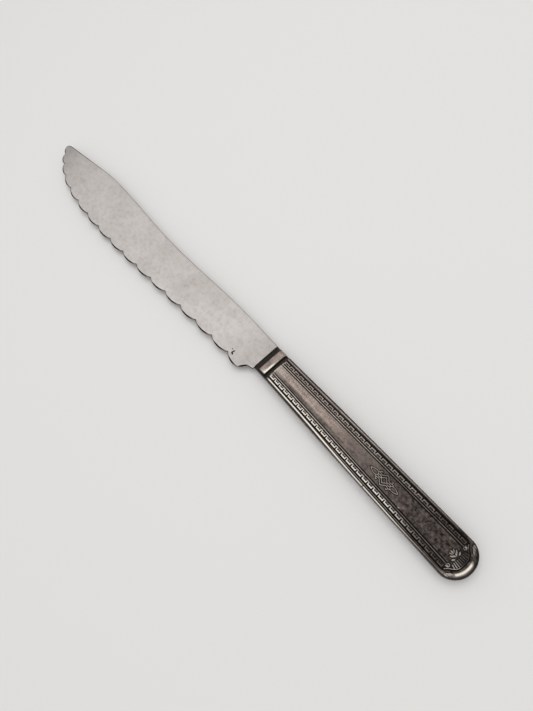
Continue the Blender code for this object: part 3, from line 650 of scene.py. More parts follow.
def make_blade(blade, finishes):
    """Blade with its tang: two faces with a ground edge, joined by a thin rim."""
    loop, bevels, rim_painted_shade = blade_outline(blade)
    face_loop = inset_loop(loop, bevels)
    count = len(loop)
    plan = [Vector(p) for p in np.vstack((face_loop, blade_face_points(face_loop)))]
    sides = [(i, (i + 1) % count) for i in range(count)]
    flat, _, triangles, *_ = geometry.delaunay_2d_cdt(plan, sides, [], KEEP_INSIDE, SAME_POINT)
    flat = np.array([tuple(p) for p in flat])
    half = blade_half_thickness(blade, flat)
    pit = pit_share(flat)
    top = np.column_stack((flat, half - blade.pit_depth * pit))
    bottom = np.column_stack((flat, -half))
    rim_half = blade_half_thickness(blade, loop)
    drop = np.minimum(bevels * GROUND_SLOPE, rim_half * GROUND_DROP)
    strips = [(inset_loop(loop, bevels * share), rim_half - drop * (1 - share)) for share in GROUND_STEPS]
    rims = [np.column_stack((line, height)) for line, height in strips]
    rims += [np.column_stack((line, -height)) for line, height in reversed(strips)]
    points = np.vstack((top, bottom, *rims))
    under = len(top)
    faces = [tuple(t) for t in triangles] + [tuple(under + i for i in reversed(t)) for t in triangles]
    starts = [0, *(2 * under + count * rim for rim in range(len(rims))), under]
    for near, far in zip(starts, starts[1:]):
        faces += [(near + i, near + j, far + j, far + i) for i, j in sides]
    pits = np.concatenate((pit, np.zeros(len(points) - len(pit))))
    toned = TIP_TONE * smooth_step(*TIP_TONE_RISES, flat[:, 0])
    toned += ROOT_TONE * (flat[:, 0] > 0) * fade(*ROOT_TONE_FADES, flat[:, 0])
    painted_shade_and_darkening = np.concatenate((toned, toned, np.tile(rim_painted_shade, len(rims))))
    add_piece("blade_dressed", points, faces, satin_stainless_steel(finishes),
              sharp_angle=20, node="blade", values={"pit": pits, "painted_shade_and_darkening": painted_shade_and_darkening})


def rounded_ring(half_width, half_height, corner, corner_steps=8, side_steps=5):
    """Rounded rectangle round the knife's axis, as y and z of its points."""
    corner = min(corner, half_width * ROUNDEST, half_height * ROUNDEST)
    arcs = []
    for quarter, (side_y, side_z) in enumerate(((1, 1), (-1, 1), (-1, -1), (1, -1))):
        centre = np.array((side_y * (half_width - corner), side_z * (half_height - corner)))
        angles = np.radians(90 * (quarter + np.arange(corner_steps + 1) / corner_steps))
        arcs.append(centre + corner * np.column_stack((np.cos(angles), np.sin(angles))))
    ring = []
    for arc, following in zip(arcs, arcs[1:] + arcs[:1]):
        ring += [arc, np.linspace(arc[-1], following[0], side_steps + 1)[1:-1]]
    return np.vstack(ring)


def flange_size(handle):
    """Half width and half height of the collar's flange, which lies inside the handle's mouth."""
    return np.array((handle.mouth_width / 2 - MOUTH_DRAW, HALF_THICKNESS)) - FLANGE_DROP


def spigot_size(handle):
    """Half width and half height of the collar's spigot."""
    return np.array((handle.mouth_width / 2 - SPIGOT_INSET, SPIGOT_HALF_HEIGHT))


def bolster_sections(bolster, handle):
    """Sections of the collar from its front face to the end of its spigot.

    Each is its place, its half width and half height, its tarnish and painted shade, and its painted
    highlight.
    """
    band = np.array((bolster.width, bolster.thickness)) / 2
    foot = bolster.cove_foot / 2
    # The neck's sides are cut in by a sixth of its depth
    neck = band - (bolster.neck_depth / 6, bolster.neck_depth)
    flange, spigot = flange_size(handle), spigot_size(handle)
    front = -bolster.cove_length
    back = front - bolster.band_length
    neck_end = back - bolster.neck_length
    flange_end = neck_end - bolster.flange_length
    sections = []
    for share in np.linspace(0, 1, COVE_STEPS):
        rise = 1 - math.sqrt(1 - share ** 2)
        height = foot + (band[1] - foot) * (share + rise) / 2
        # The cove is dark with tarnish and painted shade
        tarnish_and_shade = 1.0 - COVE_THINNING * math.sin(math.pi * share)
        sections.append((front * share, (band[0], height), tarnish_and_shade, 0.0))
    for step, tarnish_and_shade in enumerate(BAND_FRONT_TARNISH_AND_SHADE, start=1):
        sections.append((front - step * COLLAR_EASE, band, tarnish_and_shade, 0.0))
    sections += [(front - bolster.band_length * share, band, 0.0, 0.0) for share in BAND_PLACES]
    for run, drop in BAND_EASE:
        sections.append((back + run * MM, band - np.array((drop / 2, drop)) * MM, 0.0, 1.0))
    sections.append((back - NECK_FILLET, neck + NECK_FILLET_SIZE, 1.0, 0.0))
    sections += [(back - bolster.neck_length * share, neck, 1.0, 0.0) for share in NECK_PLACES]
    sections.append((neck_end, flange - FLANGE_EASE, 1.0, 0.0))
    sections.append((neck_end - COLLAR_EASE, flange, FLANGE_EDGE_TARNISH_AND_SHADE, 0.0))
    sections += [(flange_end, flange, 1.0, 0.0), (flange_end, spigot, 1.0, 0.0)]
    sections.append((BOLSTER_LOW.x - ORIGIN[0], spigot, 1.0, 0.0))
    return sections


def make_bolster(bolster, handle, finishes):
    """Collar with a coved front, a plain band, a neck, a flange and a spigot, slotted for the tang."""
    rings, hollow_and_shade_rings, highlights = [], [], []
    band_end = -bolster.cove_length - bolster.band_length
    for x, (half_width, half_height), hollow_and_shade, wear_and_highlight in bolster_sections(bolster, handle):
        ring = rounded_ring(half_width, half_height, bolster.corner)
        rings.append(np.column_stack((np.full(len(ring), x), ring)))
        across = ring[:, 0] / half_width
        # Painted shade with some tarnish darkens the collar's sides
        on_side = np.maximum(smooth_step(*EDGE_SIDE_DARK, across), smooth_step(*SPINE_SIDE_DARK, -across))
        upright = smooth_step(*UPRIGHT_DARK, np.abs(ring[:, 1]) / half_height)
        side_dark = SIDE_SHADE_AND_TARNISH * on_side * (SIDE_MIDDLE + (1 - SIDE_MIDDLE) * upright)
        hollow_and_shade_rings.append(np.maximum(hollow_and_shade, side_dark))
        # Painted highlights on the band's edge-side corner and its rear edge
        corner_from = CORNER_LIT_FROM + CORNER_LEAN * (x - band_end) / bolster.band_length
        corner = smooth_step(corner_from, corner_from + CORNER_FADE, across) * (hollow_and_shade < CLEAN_BELOW)
        lit_rear_edge = wear_and_highlight * smooth_step(*BAND_EDGE_LIT, across)
        highlights.append(np.maximum(lit_rear_edge, CORNER_SHINE * corner) * (1 - on_side))
    for x in (rings[-1][0, 0], rings[0][0, 0]):
        slot = rounded_ring(*TANG_SLOT, SLOT_CORNER)
        rings.append(np.column_stack((np.full(len(slot), x), slot)))
        hollow_and_shade_rings.append(np.ones(len(slot)))
        highlights.append(np.zeros(len(slot)))
    faces = loft_faces(len(rings), len(rings[0]), closed=True)
    material = tarnished_silver_plate("polished_silver_plate", finishes, roughness=0.2)
    shares = {"hollow_and_shade": np.concatenate(hollow_and_shade_rings), "wear_and_highlight": np.concatenate(highlights)}
    add_piece("bolster_dressed", np.vstack(rings), faces, material,
              sharp_angle=40, node="bolster", values=shares)


class StruckDie:
    """The form of the die that strikes both halves of the handle, with their wear and tarnish and their
    painted shade, dark reflection and highlights.
    """

    def __init__(self, handle):
        self.handle = handle
        self.length = MOUTH_X - END_X
        self.ogee = flowing_line(np.array(OGEE) * MM, OGEE_STEPS)
        places = np.linspace(SIDE_GROOVE_FROM, self.length, SIDE_GROOVE_POINTS)
        along_side = np.column_stack((places, self.edge(places) - handle.groove_inset))
        self.groove = np.vstack((self.ogee, along_side))
        self.bar, self.foot = handle.key_stroke * KEY_BAR, handle.key_stroke * KEY_FOOT
        self.ornament = end_ornament() + cartouche(handle.cartouche_from_end)

    def half_width(self, u):
        """Half the handle's width at u, before its round end."""
        share = (self.length - u) / (self.length - self.handle.end_round)
        return (self.handle.mouth_width + (self.handle.end_width - self.handle.mouth_width) * share) / 2

    def lean(self, u):
        """How much further in the ornament runs at u than at the end."""
        return self.handle.lean * u / self.length

    def draw_in(self, u):
        """How far the sides draw in toward the mouth."""
        return MOUTH_DRAW * smooth_step(DRAW_FROM, self.length, u)

    def edge(self, u):
        """Line from which the ornament's insets are measured, as a distance from the axis."""
        return self.half_width(u) - self.lean(u)

    def crowd(self, u, inset):
        """How much further in a line between the side and the groove runs, where the crown nears the keys."""
        crown, groove = CREST_STEP[0] * MM, self.handle.groove_inset - GROOVE_REACH
        share = np.interp(inset, (0, crown, groove), (0, 1, 0))
        return CROWN_SHIFT * share * smooth_step(*CROWN_SHIFTS, u)

    def rib_share(self, u):
        """Thin rib beside the bead, which runs out toward the mouth."""
        return smooth_step(*BORDER_SETS_IN, u) * fade(*RIB_RUNS_OUT, u)

    def key_share(self, u, inset):
        """Raised strokes of the key border, from 0 on the ground to 1 on the strokes."""
        handle = self.handle
        stroke, pitch = handle.key_stroke, handle.key_pitch
        width, height = handle.key_width, handle.key_height
        tick, tick_height = TICK
        along = u - handle.key_from_end
        along_key = along - np.clip(np.floor(along / pitch), 0, handle.key_count - 1) * pitch
        up = handle.key_foot - inset
        # Left, right, low and high side of each stroke of a key, and how far it stands up
        strokes = (
            (0, stroke, 0, height, 1.0),
            (0, width, height - self.bar, height, 1.0),
            (width - stroke, width, 0, height, 1.0),
            (width - stroke, pitch, 0, self.foot, 1.0),
            (0, width, 0, self.foot, INNER_SHARE),
            (tick, tick + self.foot, 0, tick_height, INNER_SHARE),
            (pitch, pitch + stroke, 0, height, 1.0),
        )
        share = np.zeros(len(u))
        for left, right, low, high, full in strokes:
            out = np.maximum.reduce((left - along_key, along_key - right, low - up, up - high))
            share = np.maximum(share, full * np.clip(1 - out / FLANK, 0, 1))
        last = (handle.key_count - 1) * pitch + width + FLANK
        return share * (along > -FLANK) * (along < last)

    def relief(self, points):
        """Height of the leaves, flutes and scrolls, and the painted shadow that lies round them."""
        height = np.zeros(len(points))
        nearest = np.full(len(points), np.inf)
        for stroke in self.ornament:
            reach = stroke["half_width"] + HALO_REACH
            low, high = stroke["line"].min(0) - reach, stroke["line"].max(0) + reach
            near = np.flatnonzero(((points > low) & (points < high)).all(1))
            if len(near):
                rise, away = stroke["form"](points[near], stroke)
                height[near] = np.maximum(height[near], rise)
                nearest[near] = np.minimum(nearest[near], away)
        return height, fade(*HALO, nearest)

    def forms(self, u, v):
        """Struck forms at each point of the field as shares from 0 to 1, and where the point lies."""
        handle = self.handle
        points = np.column_stack((u, np.abs(v)))
        inset = self.edge(u) - points[:, 1]
        from_groove = distance_to_line(points, self.groove)
        ogee_u = np.interp(points[:, 1], self.ogee[:, 1], self.ogee[:, 0], right=JOIN)
        within = (u > ogee_u) & ((u < JOIN) | (inset > handle.groove_inset))
        past_side = inset - handle.panel_inset
        from_ditch = np.abs(past_side + DITCH_OFFSET) - ease(*DITCH_HALF_WIDTH, u)
        run_out = self.length - handle.mouth_strip + STRIP_OVERLAP
        before_mouth = smooth_step(0, LINES_RUN_OUT, run_out - u)
        along_side = smooth_step(*BORDER_SETS_IN, u)
        relief, halo = self.relief(points)
        return SimpleNamespace(
            inset=inset,
            from_groove=from_groove,
            within=within,
            before_mouth=before_mouth,
            along_side=along_side,
            across=points[:, 1] / (self.edge(u) - handle.panel_inset),
            on_panel=smooth_step(*PANEL_SLOPE, past_side) * smooth_step(*PANEL_SETS_IN, u),
            groove=fade(*GROOVE_SLOPE, from_groove),
            rib=fade(*RIB_SLOPE, np.abs(inset - handle.rib_inset)) * self.rib_share(u),
            keys=self.key_share(u, inset) * within,
            line=fade(*LINE_SLOPE, np.abs(inset - handle.line_inset)) * along_side * before_mouth,
            ditch=fade(0, DITCH_SLOPE, from_ditch) * along_side * before_mouth,
            relief=relief,
            halo=halo,
        )

    def height(self, forms):
        """Height of the struck field over the seam."""
        handle = self.handle
        slope = np.clip((forms.from_groove - BORDER_FROM_GROOVE) / BORDER_RUN, 0, 1)
        border = BORDER_LOW + (BORDER_HIGH - BORDER_LOW) * slope
        panel = HALF_THICKNESS - handle.panel_drop - handle.panel_crown * np.clip(forms.across, 0, 1) ** 2
        z = np.where(forms.within, border + (panel - BORDER_HIGH) * forms.on_panel, BEAD_FOOT)
        z -= handle.groove_depth * forms.groove + DITCH_DEPTH * forms.ditch
        z += RIB_RISE * forms.rib + handle.key_rise * forms.keys + LINE_RISE * forms.line + forms.relief
        return np.minimum(z, HALF_THICKNESS)

    def finish(self, u, v, forms):
        """Shares of tarnish with painted shade, of film with painted dark reflection and of wear with painted
        highlight on the struck field.
        """
        rub_and_sheen = self.rub_and_sheen(u, v)
        edge_side = smooth_step(*EDGE_SIDE, v)
        edge_rib = forms.rib * edge_side
        raised = np.clip(forms.relief / RAISED, 0, 1) * (1 - self.dark_flutes(u, v))
        key_rub_and_sheen = rub_and_sheen * (1 - INNER_KEY_LOSS * edge_side * smooth_step(*INNER_KEYS, forms.inset))
        spot = fade(*SPOT_SIZE, np.hypot(u - WORN_SPOT[0], v - WORN_SPOT[1]))
        # Rubbing with painted sheen toward the mouth, and a painted highlight on the panel at the mouth
        shine = np.maximum.reduce((
            forms.keys * key_rub_and_sheen, forms.line * ease(*LINE_RUB_AND_SHEEN, u), RIB_SHINE * edge_rib * rub_and_sheen,
            raised * self.ornament_rub_and_sheen(v), SPOT_SHINE * spot,
            MOUTH_HIGHLIGHT * forms.on_panel * smooth_step(*MOUTH_LIT, u)))
        in_border = smooth_step(*DARK_BORDER_FROM, forms.inset) * fade(*DARK_BORDER_TO, forms.inset)
        in_border *= smooth_step(*DARK_BORDER_SETS_IN, u) * forms.before_mouth * forms.within
        in_end = forms.within * fade(*DARK_END_FADES, u)
        bare_from = DARK_FOOT + DARK_FOOT_MORE * (1 - self.rib_share(u) * edge_side)
        foot = fade(bare_from, bare_from + DARK_FOOT_FADE, forms.inset) * forms.along_side
        # Tarnish in grooves and on the key ground, painted shadow round the ornament, and the end's tarnish
        # with painted dark reflection
        hollow_and_shade = np.maximum.reduce((forms.groove, forms.ditch, in_border, forms.halo,
                                    END_TARNISH_AND_REFLECTION * in_end, FOOT_TARNISH * foot))
        hollow_and_shade *= 1 - np.maximum.reduce((forms.keys, forms.line, edge_rib, raised))
        # Painted dark reflection along the panel's edge side
        band = forms.on_panel * smooth_step(*DARK_BAND, v) * smooth_step(*DARK_BAND_SETS_IN, u)
        film_and_dark_reflection = np.maximum(self.film_and_dark_reflection(u), PANEL_BAND_REFLECTION * band * forms.before_mouth)
        cleared_keys = KEYS_CLEARED * forms.keys * smooth_step(*KEYS_SHOW, u)
        film_and_dark_reflection *= 1 - FIELD_CLEARED * np.maximum.reduce((shine, RAISED_CLEARED * raised, cleared_keys))
        return hollow_and_shade, film_and_dark_reflection, shine * (1 - forms.groove)

    @staticmethod
    def rub_and_sheen(u, v):
        """How bright the raised places are: rubbed by hands, most on the edge's side, and lit by painted
        sheen that rises toward the mouth.
        """
        spine_wear = ease(*SPINE_WEAR, u)
        return ease(*RUB_AND_SHEEN_ALONG, u) * ease((spine_wear, 1.0), WORN_SIDE, v)

    @staticmethod
    def film_and_dark_reflection(u):
        """Broad tarnish and painted dark reflection, heavy at the end."""
        return np.interp(u / MM, *zip(*FILM_AND_REFLECTION_LEVELS))

    @staticmethod
    def dark_flutes(u, v):
        """Tarnish that fills the shell's flutes, all but those on the edge's side."""
        return FLUTE_TARNISH * fade(*FLUTES_END, u) * fade(*FLUTES_CLEAR, v)

    @staticmethod
    def ornament_rub_and_sheen(v):
        """How bright the raised ornament is with rubbing and painted sheen, more on the edge's side."""
        return ease(*ORNAMENT_RUB_AND_SHEEN, v)


def raised_line(points, stroke):
    """Rounded ridge along a line, and how far each point lies outside it."""
    away = distance_to_line(points, stroke["line"])
    half_width = stroke["half_width"]
    return stroke["rise"] * fade(*RIDGE_SLOPE, away / half_width), away - half_width


def raised_leaf(points, stroke):
    """Leaf with a vein, widest where its swell puts it, and how far each point lies outside it."""
    foot, tip = stroke["line"][0], stroke["line"][-1]
    run = tip - foot
    length = np.hypot(*run)
    along = (points - foot) @ run / length ** 2
    across = np.abs((points - foot) @ np.array((-run[1], run[0])) / length)
    share = np.clip(along, 0, 1)
    half_width = stroke["half_width"] * np.sin(math.pi * share ** stroke["swell"]) + LEAST_WIDTH
    body = fade(*LEAF_SLOPE, across / half_width)
    vein = 1 - stroke["vein"] * fade(0.0, VEIN_WIDTH, across)
    outside = np.maximum(across - half_width, np.maximum(-along, along - 1) * length)
    return stroke["rise"] * body * vein * ((along > 0) & (along < 1)), outside


def ridge_stroke(line, half_width, rise):
    """Raised line of the ornament, in millimetres from the handle's end and axis."""
    return {"form": raised_line, "line": np.array(line) * MM, "half_width": half_width * MM,
            "rise": rise * MM}


def leaf_stroke(foot, tip, half_width, rise, vein, swell=0.8):
    """Raised leaf of the ornament, in millimetres from the handle's end and axis."""
    return {"form": raised_leaf, "line": np.array((foot, tip)) * MM, "half_width": half_width * MM,
            "rise": rise * MM, "swell": swell, "vein": vein}


def spiral(centre, start_angle, turns, radii, points=26):
    """Scroll round a centre."""
    angles = np.radians(start_angle) + np.linspace(0, 2 * math.pi * turns, points)
    radius = np.linspace(*radii, points)
    return np.array(centre) + np.column_stack((radius * np.cos(angles), radius * np.sin(angles)))


def end_ornament():
    """Fluted shell at the handle's end with leaves and a scroll behind it, on one side of the axis."""
    strokes = [ridge_stroke(flute, half_width=0.23, rise=0.26) for flute in FLUTES]
    strokes.append(ridge_stroke(flowing_line(SHELL_RIM, steps=5), half_width=0.18, rise=0.2))
    strokes += [leaf_stroke(*leaf, rise=0.28, vein=0.3) for leaf in SHELL_LEAVES]
    strokes += [leaf_stroke(*leaf, rise=0.2, vein=0.4) for leaf in CORNER_LEAVES]
    scroll = spiral(centre=(7.15, 4.15), start_angle=60, turns=1.2, radii=(0.75, 0.25))
    strokes.append(ridge_stroke(scroll, half_width=0.2, rise=0.28))
    return strokes


def cartouche(from_end):
    """Lozenge with scrolls and pointed leaves along the panel, on one side of the axis."""
    strokes = []
    for way in (-1, 1):
        for line in LOZENGE_LINES:
            places = [(from_end / MM + way * along, across) for along, across in line]
            if len(places) > 2:
                places = flowing_line(places, steps=5)
            strokes.append(ridge_stroke(places, half_width=0.17, rise=0.16))
    return strokes


def die_columns(die):
    """Places along the handle, from the mouth to its round end, close where the ornament is fine."""
    handle = die.handle
    stroke, width = handle.key_stroke, handle.key_width
    sides = ((0, stroke), (TICK[0], TICK[0] + die.foot), (width - stroke, width))
    edges = [place for low, high in sides for place in (low - FLANK, low, high, high + FLANK)]
    keys = handle.key_from_end + np.add.outer(np.arange(handle.key_count) * handle.key_pitch, edges).ravel()
    middle = handle.cartouche_from_end
    strip = die.length - handle.mouth_strip * np.array(STRIP_PLACES)
    lozenge = np.arange(middle - CARTOUCHE_REACH, middle + CARTOUCHE_REACH, CARTOUCHE_COLUMN)
    fine = np.concatenate((lozenge, strip))
    clear = np.abs(fine[:, None] - keys).min(1) > COLUMN_GAP
    columns = np.concatenate((keys, fine[clear], (die.length,)))
    return np.sort(columns[columns > JOIN])[::-1]


def die_rows(die):
    """Insets of the rows across one border, from the bead's foot to the panel."""
    handle = die.handle
    top, under_bar, tick = handle.key_height, handle.key_height - die.bar, TICK[1]
    key_steps = (top + FLANK, top, under_bar, under_bar - FLANK, tick + FLANK, tick,
                 die.foot + FLANK, die.foot, 0.0, -FLANK)
    groove_steps = (-GROOVE_REACH, -GROOVE_SLOPE[0], GROOVE_SLOPE[0], GROOVE_REACH)
    # The rib's inner foot lies where the groove's outer slope starts, so it has no row of its own
    rows = [handle.rib_inset + step for step in (-RIB_SLOPE[1], -RIB_SLOPE[0], RIB_SLOPE[0])]
    rows += [handle.groove_inset + step for step in groove_steps]
    rows += [handle.key_foot - step for step in key_steps]
    rows += [handle.line_inset + step * MM for step in LINE_ROWS]
    rows += [handle.panel_inset + step * MM for step in PANEL_SIDE_ROWS]
    return np.sort(rows)


def ring_line(die, columns, side_inset, end_inset, lead_steps, arc_steps, lean_share=0.0, draw_share=0.0):
    """One side of a line round the handle, from the mouth to the middle of its round end."""
    handle = die.handle
    reach = handle.end_round * (1 - side_inset / (handle.end_width / 2))
    shoulder = end_inset + reach
    lead = JOIN + (shoulder - JOIN) * np.arange(lead_steps + 1) / lead_steps
    angles = np.linspace(0, math.pi / 2, arc_steps + 1)[1:]
    u = np.concatenate((columns, lead, shoulder - reach * np.sin(angles)))
    bend = np.concatenate((np.ones(len(columns) + len(lead)), np.cos(angles)))
    along = np.maximum(u, shoulder)
    inset = side_inset + lean_share * (die.lean(along) + die.crowd(along, side_inset))
    inset += draw_share * die.draw_in(along)
    return u, (die.half_width(along) - inset) * bend


def field_rows(die, edge_u, edge_v):
    """Rows of the field across the handle at each column, as distances from the axis, from side to side."""
    insets = die_rows(die)
    widths = die.edge(np.maximum(edge_u, JOIN))
    full = np.interp(JOIN, edge_u[::-1], edge_v[::-1])
    squeeze = np.where(edge_u < JOIN, edge_v / full, 1.0)
    border = widths[:, None] - insets - die.crowd(edge_u[:, None], insets)
    panel = (widths - insets[-1])[:, None] * np.linspace(1, -1, PANEL_ROWS + 2)[1:-1]
    return np.hstack((border, panel, -border[:, ::-1])) * squeeze[:, None]


class GridOfPoints:
    """Points and faces of a struck half while it is put together."""

    def __init__(self):
        self.points, self.finish, self.faces = [], [], []
        self.count = 0

    def add(self, u, v, z, finish=INSIDE_FINISH):
        """Add points with their shares of tarnish with painted shade, of film with painted dark reflection
        and of wear with painted highlight, and return their numbers.
        """
        self.points.append(np.column_stack((END_X + u.ravel(), v.ravel(), z.ravel())))
        self.finish.append(np.column_stack([np.broadcast_to(share, u.size) for share in finish]))
        numbers = np.arange(self.count, self.count + u.size)
        self.count += u.size
        return numbers.reshape(u.shape)

    def add_both_sides(self, u, v, z, edge_finish=INSIDE_FINISH, spine_finish=INSIDE_FINISH):
        """Add a line of the edge's side and its mirror image, which share the point on the axis."""
        there = self.add(u, v, z, edge_finish)
        mirrored = [np.broadcast_to(share, u.shape)[:-1] for share in spine_finish]
        back = self.add(u[:-1], -v[:-1], z[:-1], mirrored)
        return np.concatenate((there, back[::-1]))

    def join(self, near, far):
        """Faces between two lines of points."""
        for quad in zip(near[:-1].tolist(), near[1:].tolist(), far[1:].tolist(), far[:-1].tolist()):
            corners = tuple(dict.fromkeys(quad))
            if len(corners) > 2:
                self.faces.append(corners)

    def close_field(self, edge, field):
        """Faces of a field between the two sides of its edge; returns its first row, at the mouth."""
        count = len(field)
        end = np.full((1, field.shape[1] + 2), edge[count])
        rows = np.vstack((np.column_stack((edge[:count], field, edge[:count:-1])), end))
        for near, far in zip(rows, rows[1:]):
            self.join(near, far)
        return [int(i) for i in field[0]]


def bead_finish(die, u, v, step, relief):
    """Shares of tarnish with painted shade, of film with painted dark reflection and of wear with painted
    highlight along one line of the bead round the handle.
    """
    side_inset, end_inset, height = step
    ornament, halo = relief
    raised = np.clip(ornament / RAISED, 0, 1)
    at_end = fade(*END_FADES, u)
    near_mouth = smooth_step(*CROWN_SHIFTS, u)
    edge_side = smooth_step(*BEAD_EDGE_SIDE, v)
    # Painted highlight along the bead's crown, where it is rubbed
    edge_crown = EDGE_CROWN + EDGE_CROWN_END * fade(*CROWN_LEAVES_END, u) + EDGE_CROWN_MOUTH * near_mouth
    spine_crown = SPINE_CROWN + SPINE_CROWN_MOUTH * near_mouth
    off_crown = side_inset * MM + die.crowd(u, side_inset * MM) - blend((spine_crown, edge_crown), edge_side)
    on_crown = fade(*CROWN_WIDTH, np.abs(off_crown))
    lit_crown = on_crown * (1 - near_mouth) * np.maximum(edge_side, smooth_step(*CROWN_LIT, u))
    nick = fade(*NICK_SIZE, np.abs(u - NICK_U)) * edge_side
    wear_and_highlight = np.minimum(1.0, CROWN_HIGHLIGHT * die.rub_and_sheen(u, v)) * (1 - NICK_LOSS * nick)
    wear_and_highlight *= smooth_step(*CROWN_STOPS, die.length - u)
    # Painted highlight on the round end's bead
    glint = at_end * fade(*GLINT_WIDTH, abs(end_inset - GLINT_INSET))
    glint *= smooth_step(*GLINT_FROM, v) * fade(*GLINT_TO, v)
    bright_ornament = blend(BEAD_ORNAMENT_SHEEN, edge_side) * raised * die.ornament_rub_and_sheen(v)
    shine = np.maximum.reduce((on_crown * wear_and_highlight, glint, bright_ornament))
    # Painted shade and dark reflection on the side wall and outer flank, a dark inner foot, a dark end rim
    # and painted shadow round the ornament
    under_bead = smooth_step(*UNDER_BEAD, height)
    wall = np.full(len(u), blend((WALL_SHADE, UNDER_BEAD_SHADE), under_bead) * fade(*OVER_BEAD, height))
    flank = UNDER_BEAD_SHADE * under_bead * fade(*OUTER_FLANK, off_crown)
    foot = INNER_FLANK_DARK * smooth_step(*INNER_FLANK, off_crown)
    rim = END_RIM_DARK * at_end * fade(*END_RIM, end_inset)
    hollow_and_shade = np.maximum.reduce((np.maximum(flank, foot) * (1 - at_end), wall, rim, HALO_SHADE * halo))
    black_place = (u < BLACK_PLACE[0]) * (v < BLACK_PLACE[1])
    # Broad tarnish with painted dark reflection, and darkening on the spine's side
    film_and_dark_reflection = np.maximum.reduce((BEAD_FILM_AND_REFLECTION * die.film_and_dark_reflection(u), SPINE_MOUTH_DARKENING * near_mouth * (v < 0), black_place))
    clear_ornament = blend(BEAD_ORNAMENT_CLEARED, edge_side) * raised
    film_and_dark_reflection *= 1 - BEAD_CLEARED * np.maximum.reduce((shine, clear_ornament, LIT_CLEARED * lit_crown))
    return hollow_and_shade * (1 - raised), film_and_dark_reflection, shine


def struck_half(die):
    """Points, faces and finish values of one half of the handle: outside, inside and rims."""
    columns = die_columns(die)
    grid = GridOfPoints()
    wall_top = WALL_STEPS[-1][2]
    crest_side, crest_end, crest = CREST_STEP
    bead = [(crest_side * (1 - math.cos(a)), crest_end * (1 - math.cos(a)),
             wall_top + (crest - wall_top) * math.sin(a))
            for a in np.linspace(0, math.pi / 2, BEAD_STEPS + 1)[1:]]
    outside = []
    for step in (*WALL_STEPS, *bead, *BEAD_BACK_STEPS):
        side_inset, end_inset, height = step
        lean_share = min(1.0, side_inset / crest_side)
        u, v = ring_line(die, columns, side_inset * MM, end_inset * MM, LEAD_STEPS, ARC_STEPS,
                         lean_share, 1 - lean_share)
        relief = die.relief(np.column_stack((u, v)))
        finish = [bead_finish(die, u, way * v, step, relief) for way in (1, -1)]
        outside.append(grid.add_both_sides(u, v, height * MM + relief[0], *finish))
    field_v = field_rows(die, u, v)[:-1]
    field_u = np.broadcast_to(u[:-1, None], field_v.shape)
    flat = field_u.ravel(), field_v.ravel()
    forms = die.forms(*flat)
    field = grid.add(field_u, field_v, die.height(forms), die.finish(*flat, forms))
    inside_rings = []
    for side_inset, end_inset, height in INSIDE_STEPS:
        u, v = ring_line(die, columns, side_inset * MM, end_inset * MM, LEAD_STEPS, ARC_STEPS)
        inside_rings.append(grid.add_both_sides(u, v, np.full(len(u), height * MM)))
    inner_v = v[:-1, None] * INSIDE_ROWS
    inner_u = np.broadcast_to(u[:-1, None], inner_v.shape)
    rise = np.interp(np.abs(INSIDE_ROWS), *zip(*INSIDE_RISE)) * MM
    inner_z = INSIDE_STEPS[-1][2] * MM + rise * smooth_step(*INSIDE_RISES, inner_u)
    inner = grid.add(inner_u, inner_v, inner_z)
    for near, far in zip(outside, outside[1:]):
        grid.join(near, far)
    grid.join(inside_rings[0], outside[0])
    for near, far in zip(inside_rings, inside_rings[1:]):
        grid.join(far, near)
    across_out = grid.close_field(outside[-1], field)
    across_in = grid.close_field(inside_rings[-1], inner)
    mouth = [ring[0] for ring in outside] + across_out + [ring[-1] for ring in reversed(outside)]
    mouth += [ring[-1] for ring in inside_rings] + across_in[::-1]
    mouth += [ring[0] for ring in reversed(inside_rings)]
    grid.faces.append(tuple(int(i) for i in mouth))
    return np.vstack(grid.points), grid.faces, np.vstack(grid.finish)


def make_shells(handle, finishes):
    """Two halves from one die, the lower one turned over about the handle's axis."""
    points, faces, finish = struck_half(StruckDie(handle))
    shares = dict(zip(("hollow_and_shade", "film_and_dark_reflection", "wear_and_highlight"), finish.T))
    material = tarnished_silver_plate("struck_silver_plate", finishes, roughness=0.22)
    for half, turn in (("upper", (1, 1, 1)), ("lower", (1, -1, -1))):
        add_piece(f"{half}_handle_struck", points * turn, faces, material,
                  sharp_angle=75, node=f"{half}_handle_shell", values=shares)


def make_seam_solder(handle, finishes):
    """Strip of solder round the seam, a little hollow along its outer side."""
    die = StruckDie(handle)
    columns = np.linspace(die.length, JOIN, SEAM_COLUMNS)[:-1]
    lines = []
    for inset, side, draw_share in SEAM_SECTION:
        u, v = ring_line(die, columns, inset * MM, inset * MM, SEAM_LEAD_STEPS, SEAM_ARC_STEPS,
                         draw_share=draw_share)
        u, v = np.concatenate((u, u[-2::-1])), np.concatenate((v, -v[-2::-1]))
        lines.append(np.column_stack((END_X + u, v, np.full(len(u), side * SEAM_HALF))))
    rings = np.stack(lines, axis=1)
    count, corners = rings.shape[:2]
    faces = loft_faces(count, corners, closed=False)
    faces += [tuple(range(corners)), tuple(range((count - 1) * corners, count * corners))]
    add_piece("seam_solder_line", rings.reshape(-1, 3), faces, soft_solder(finishes),
              sharp_angle=40, node="seam_solder")


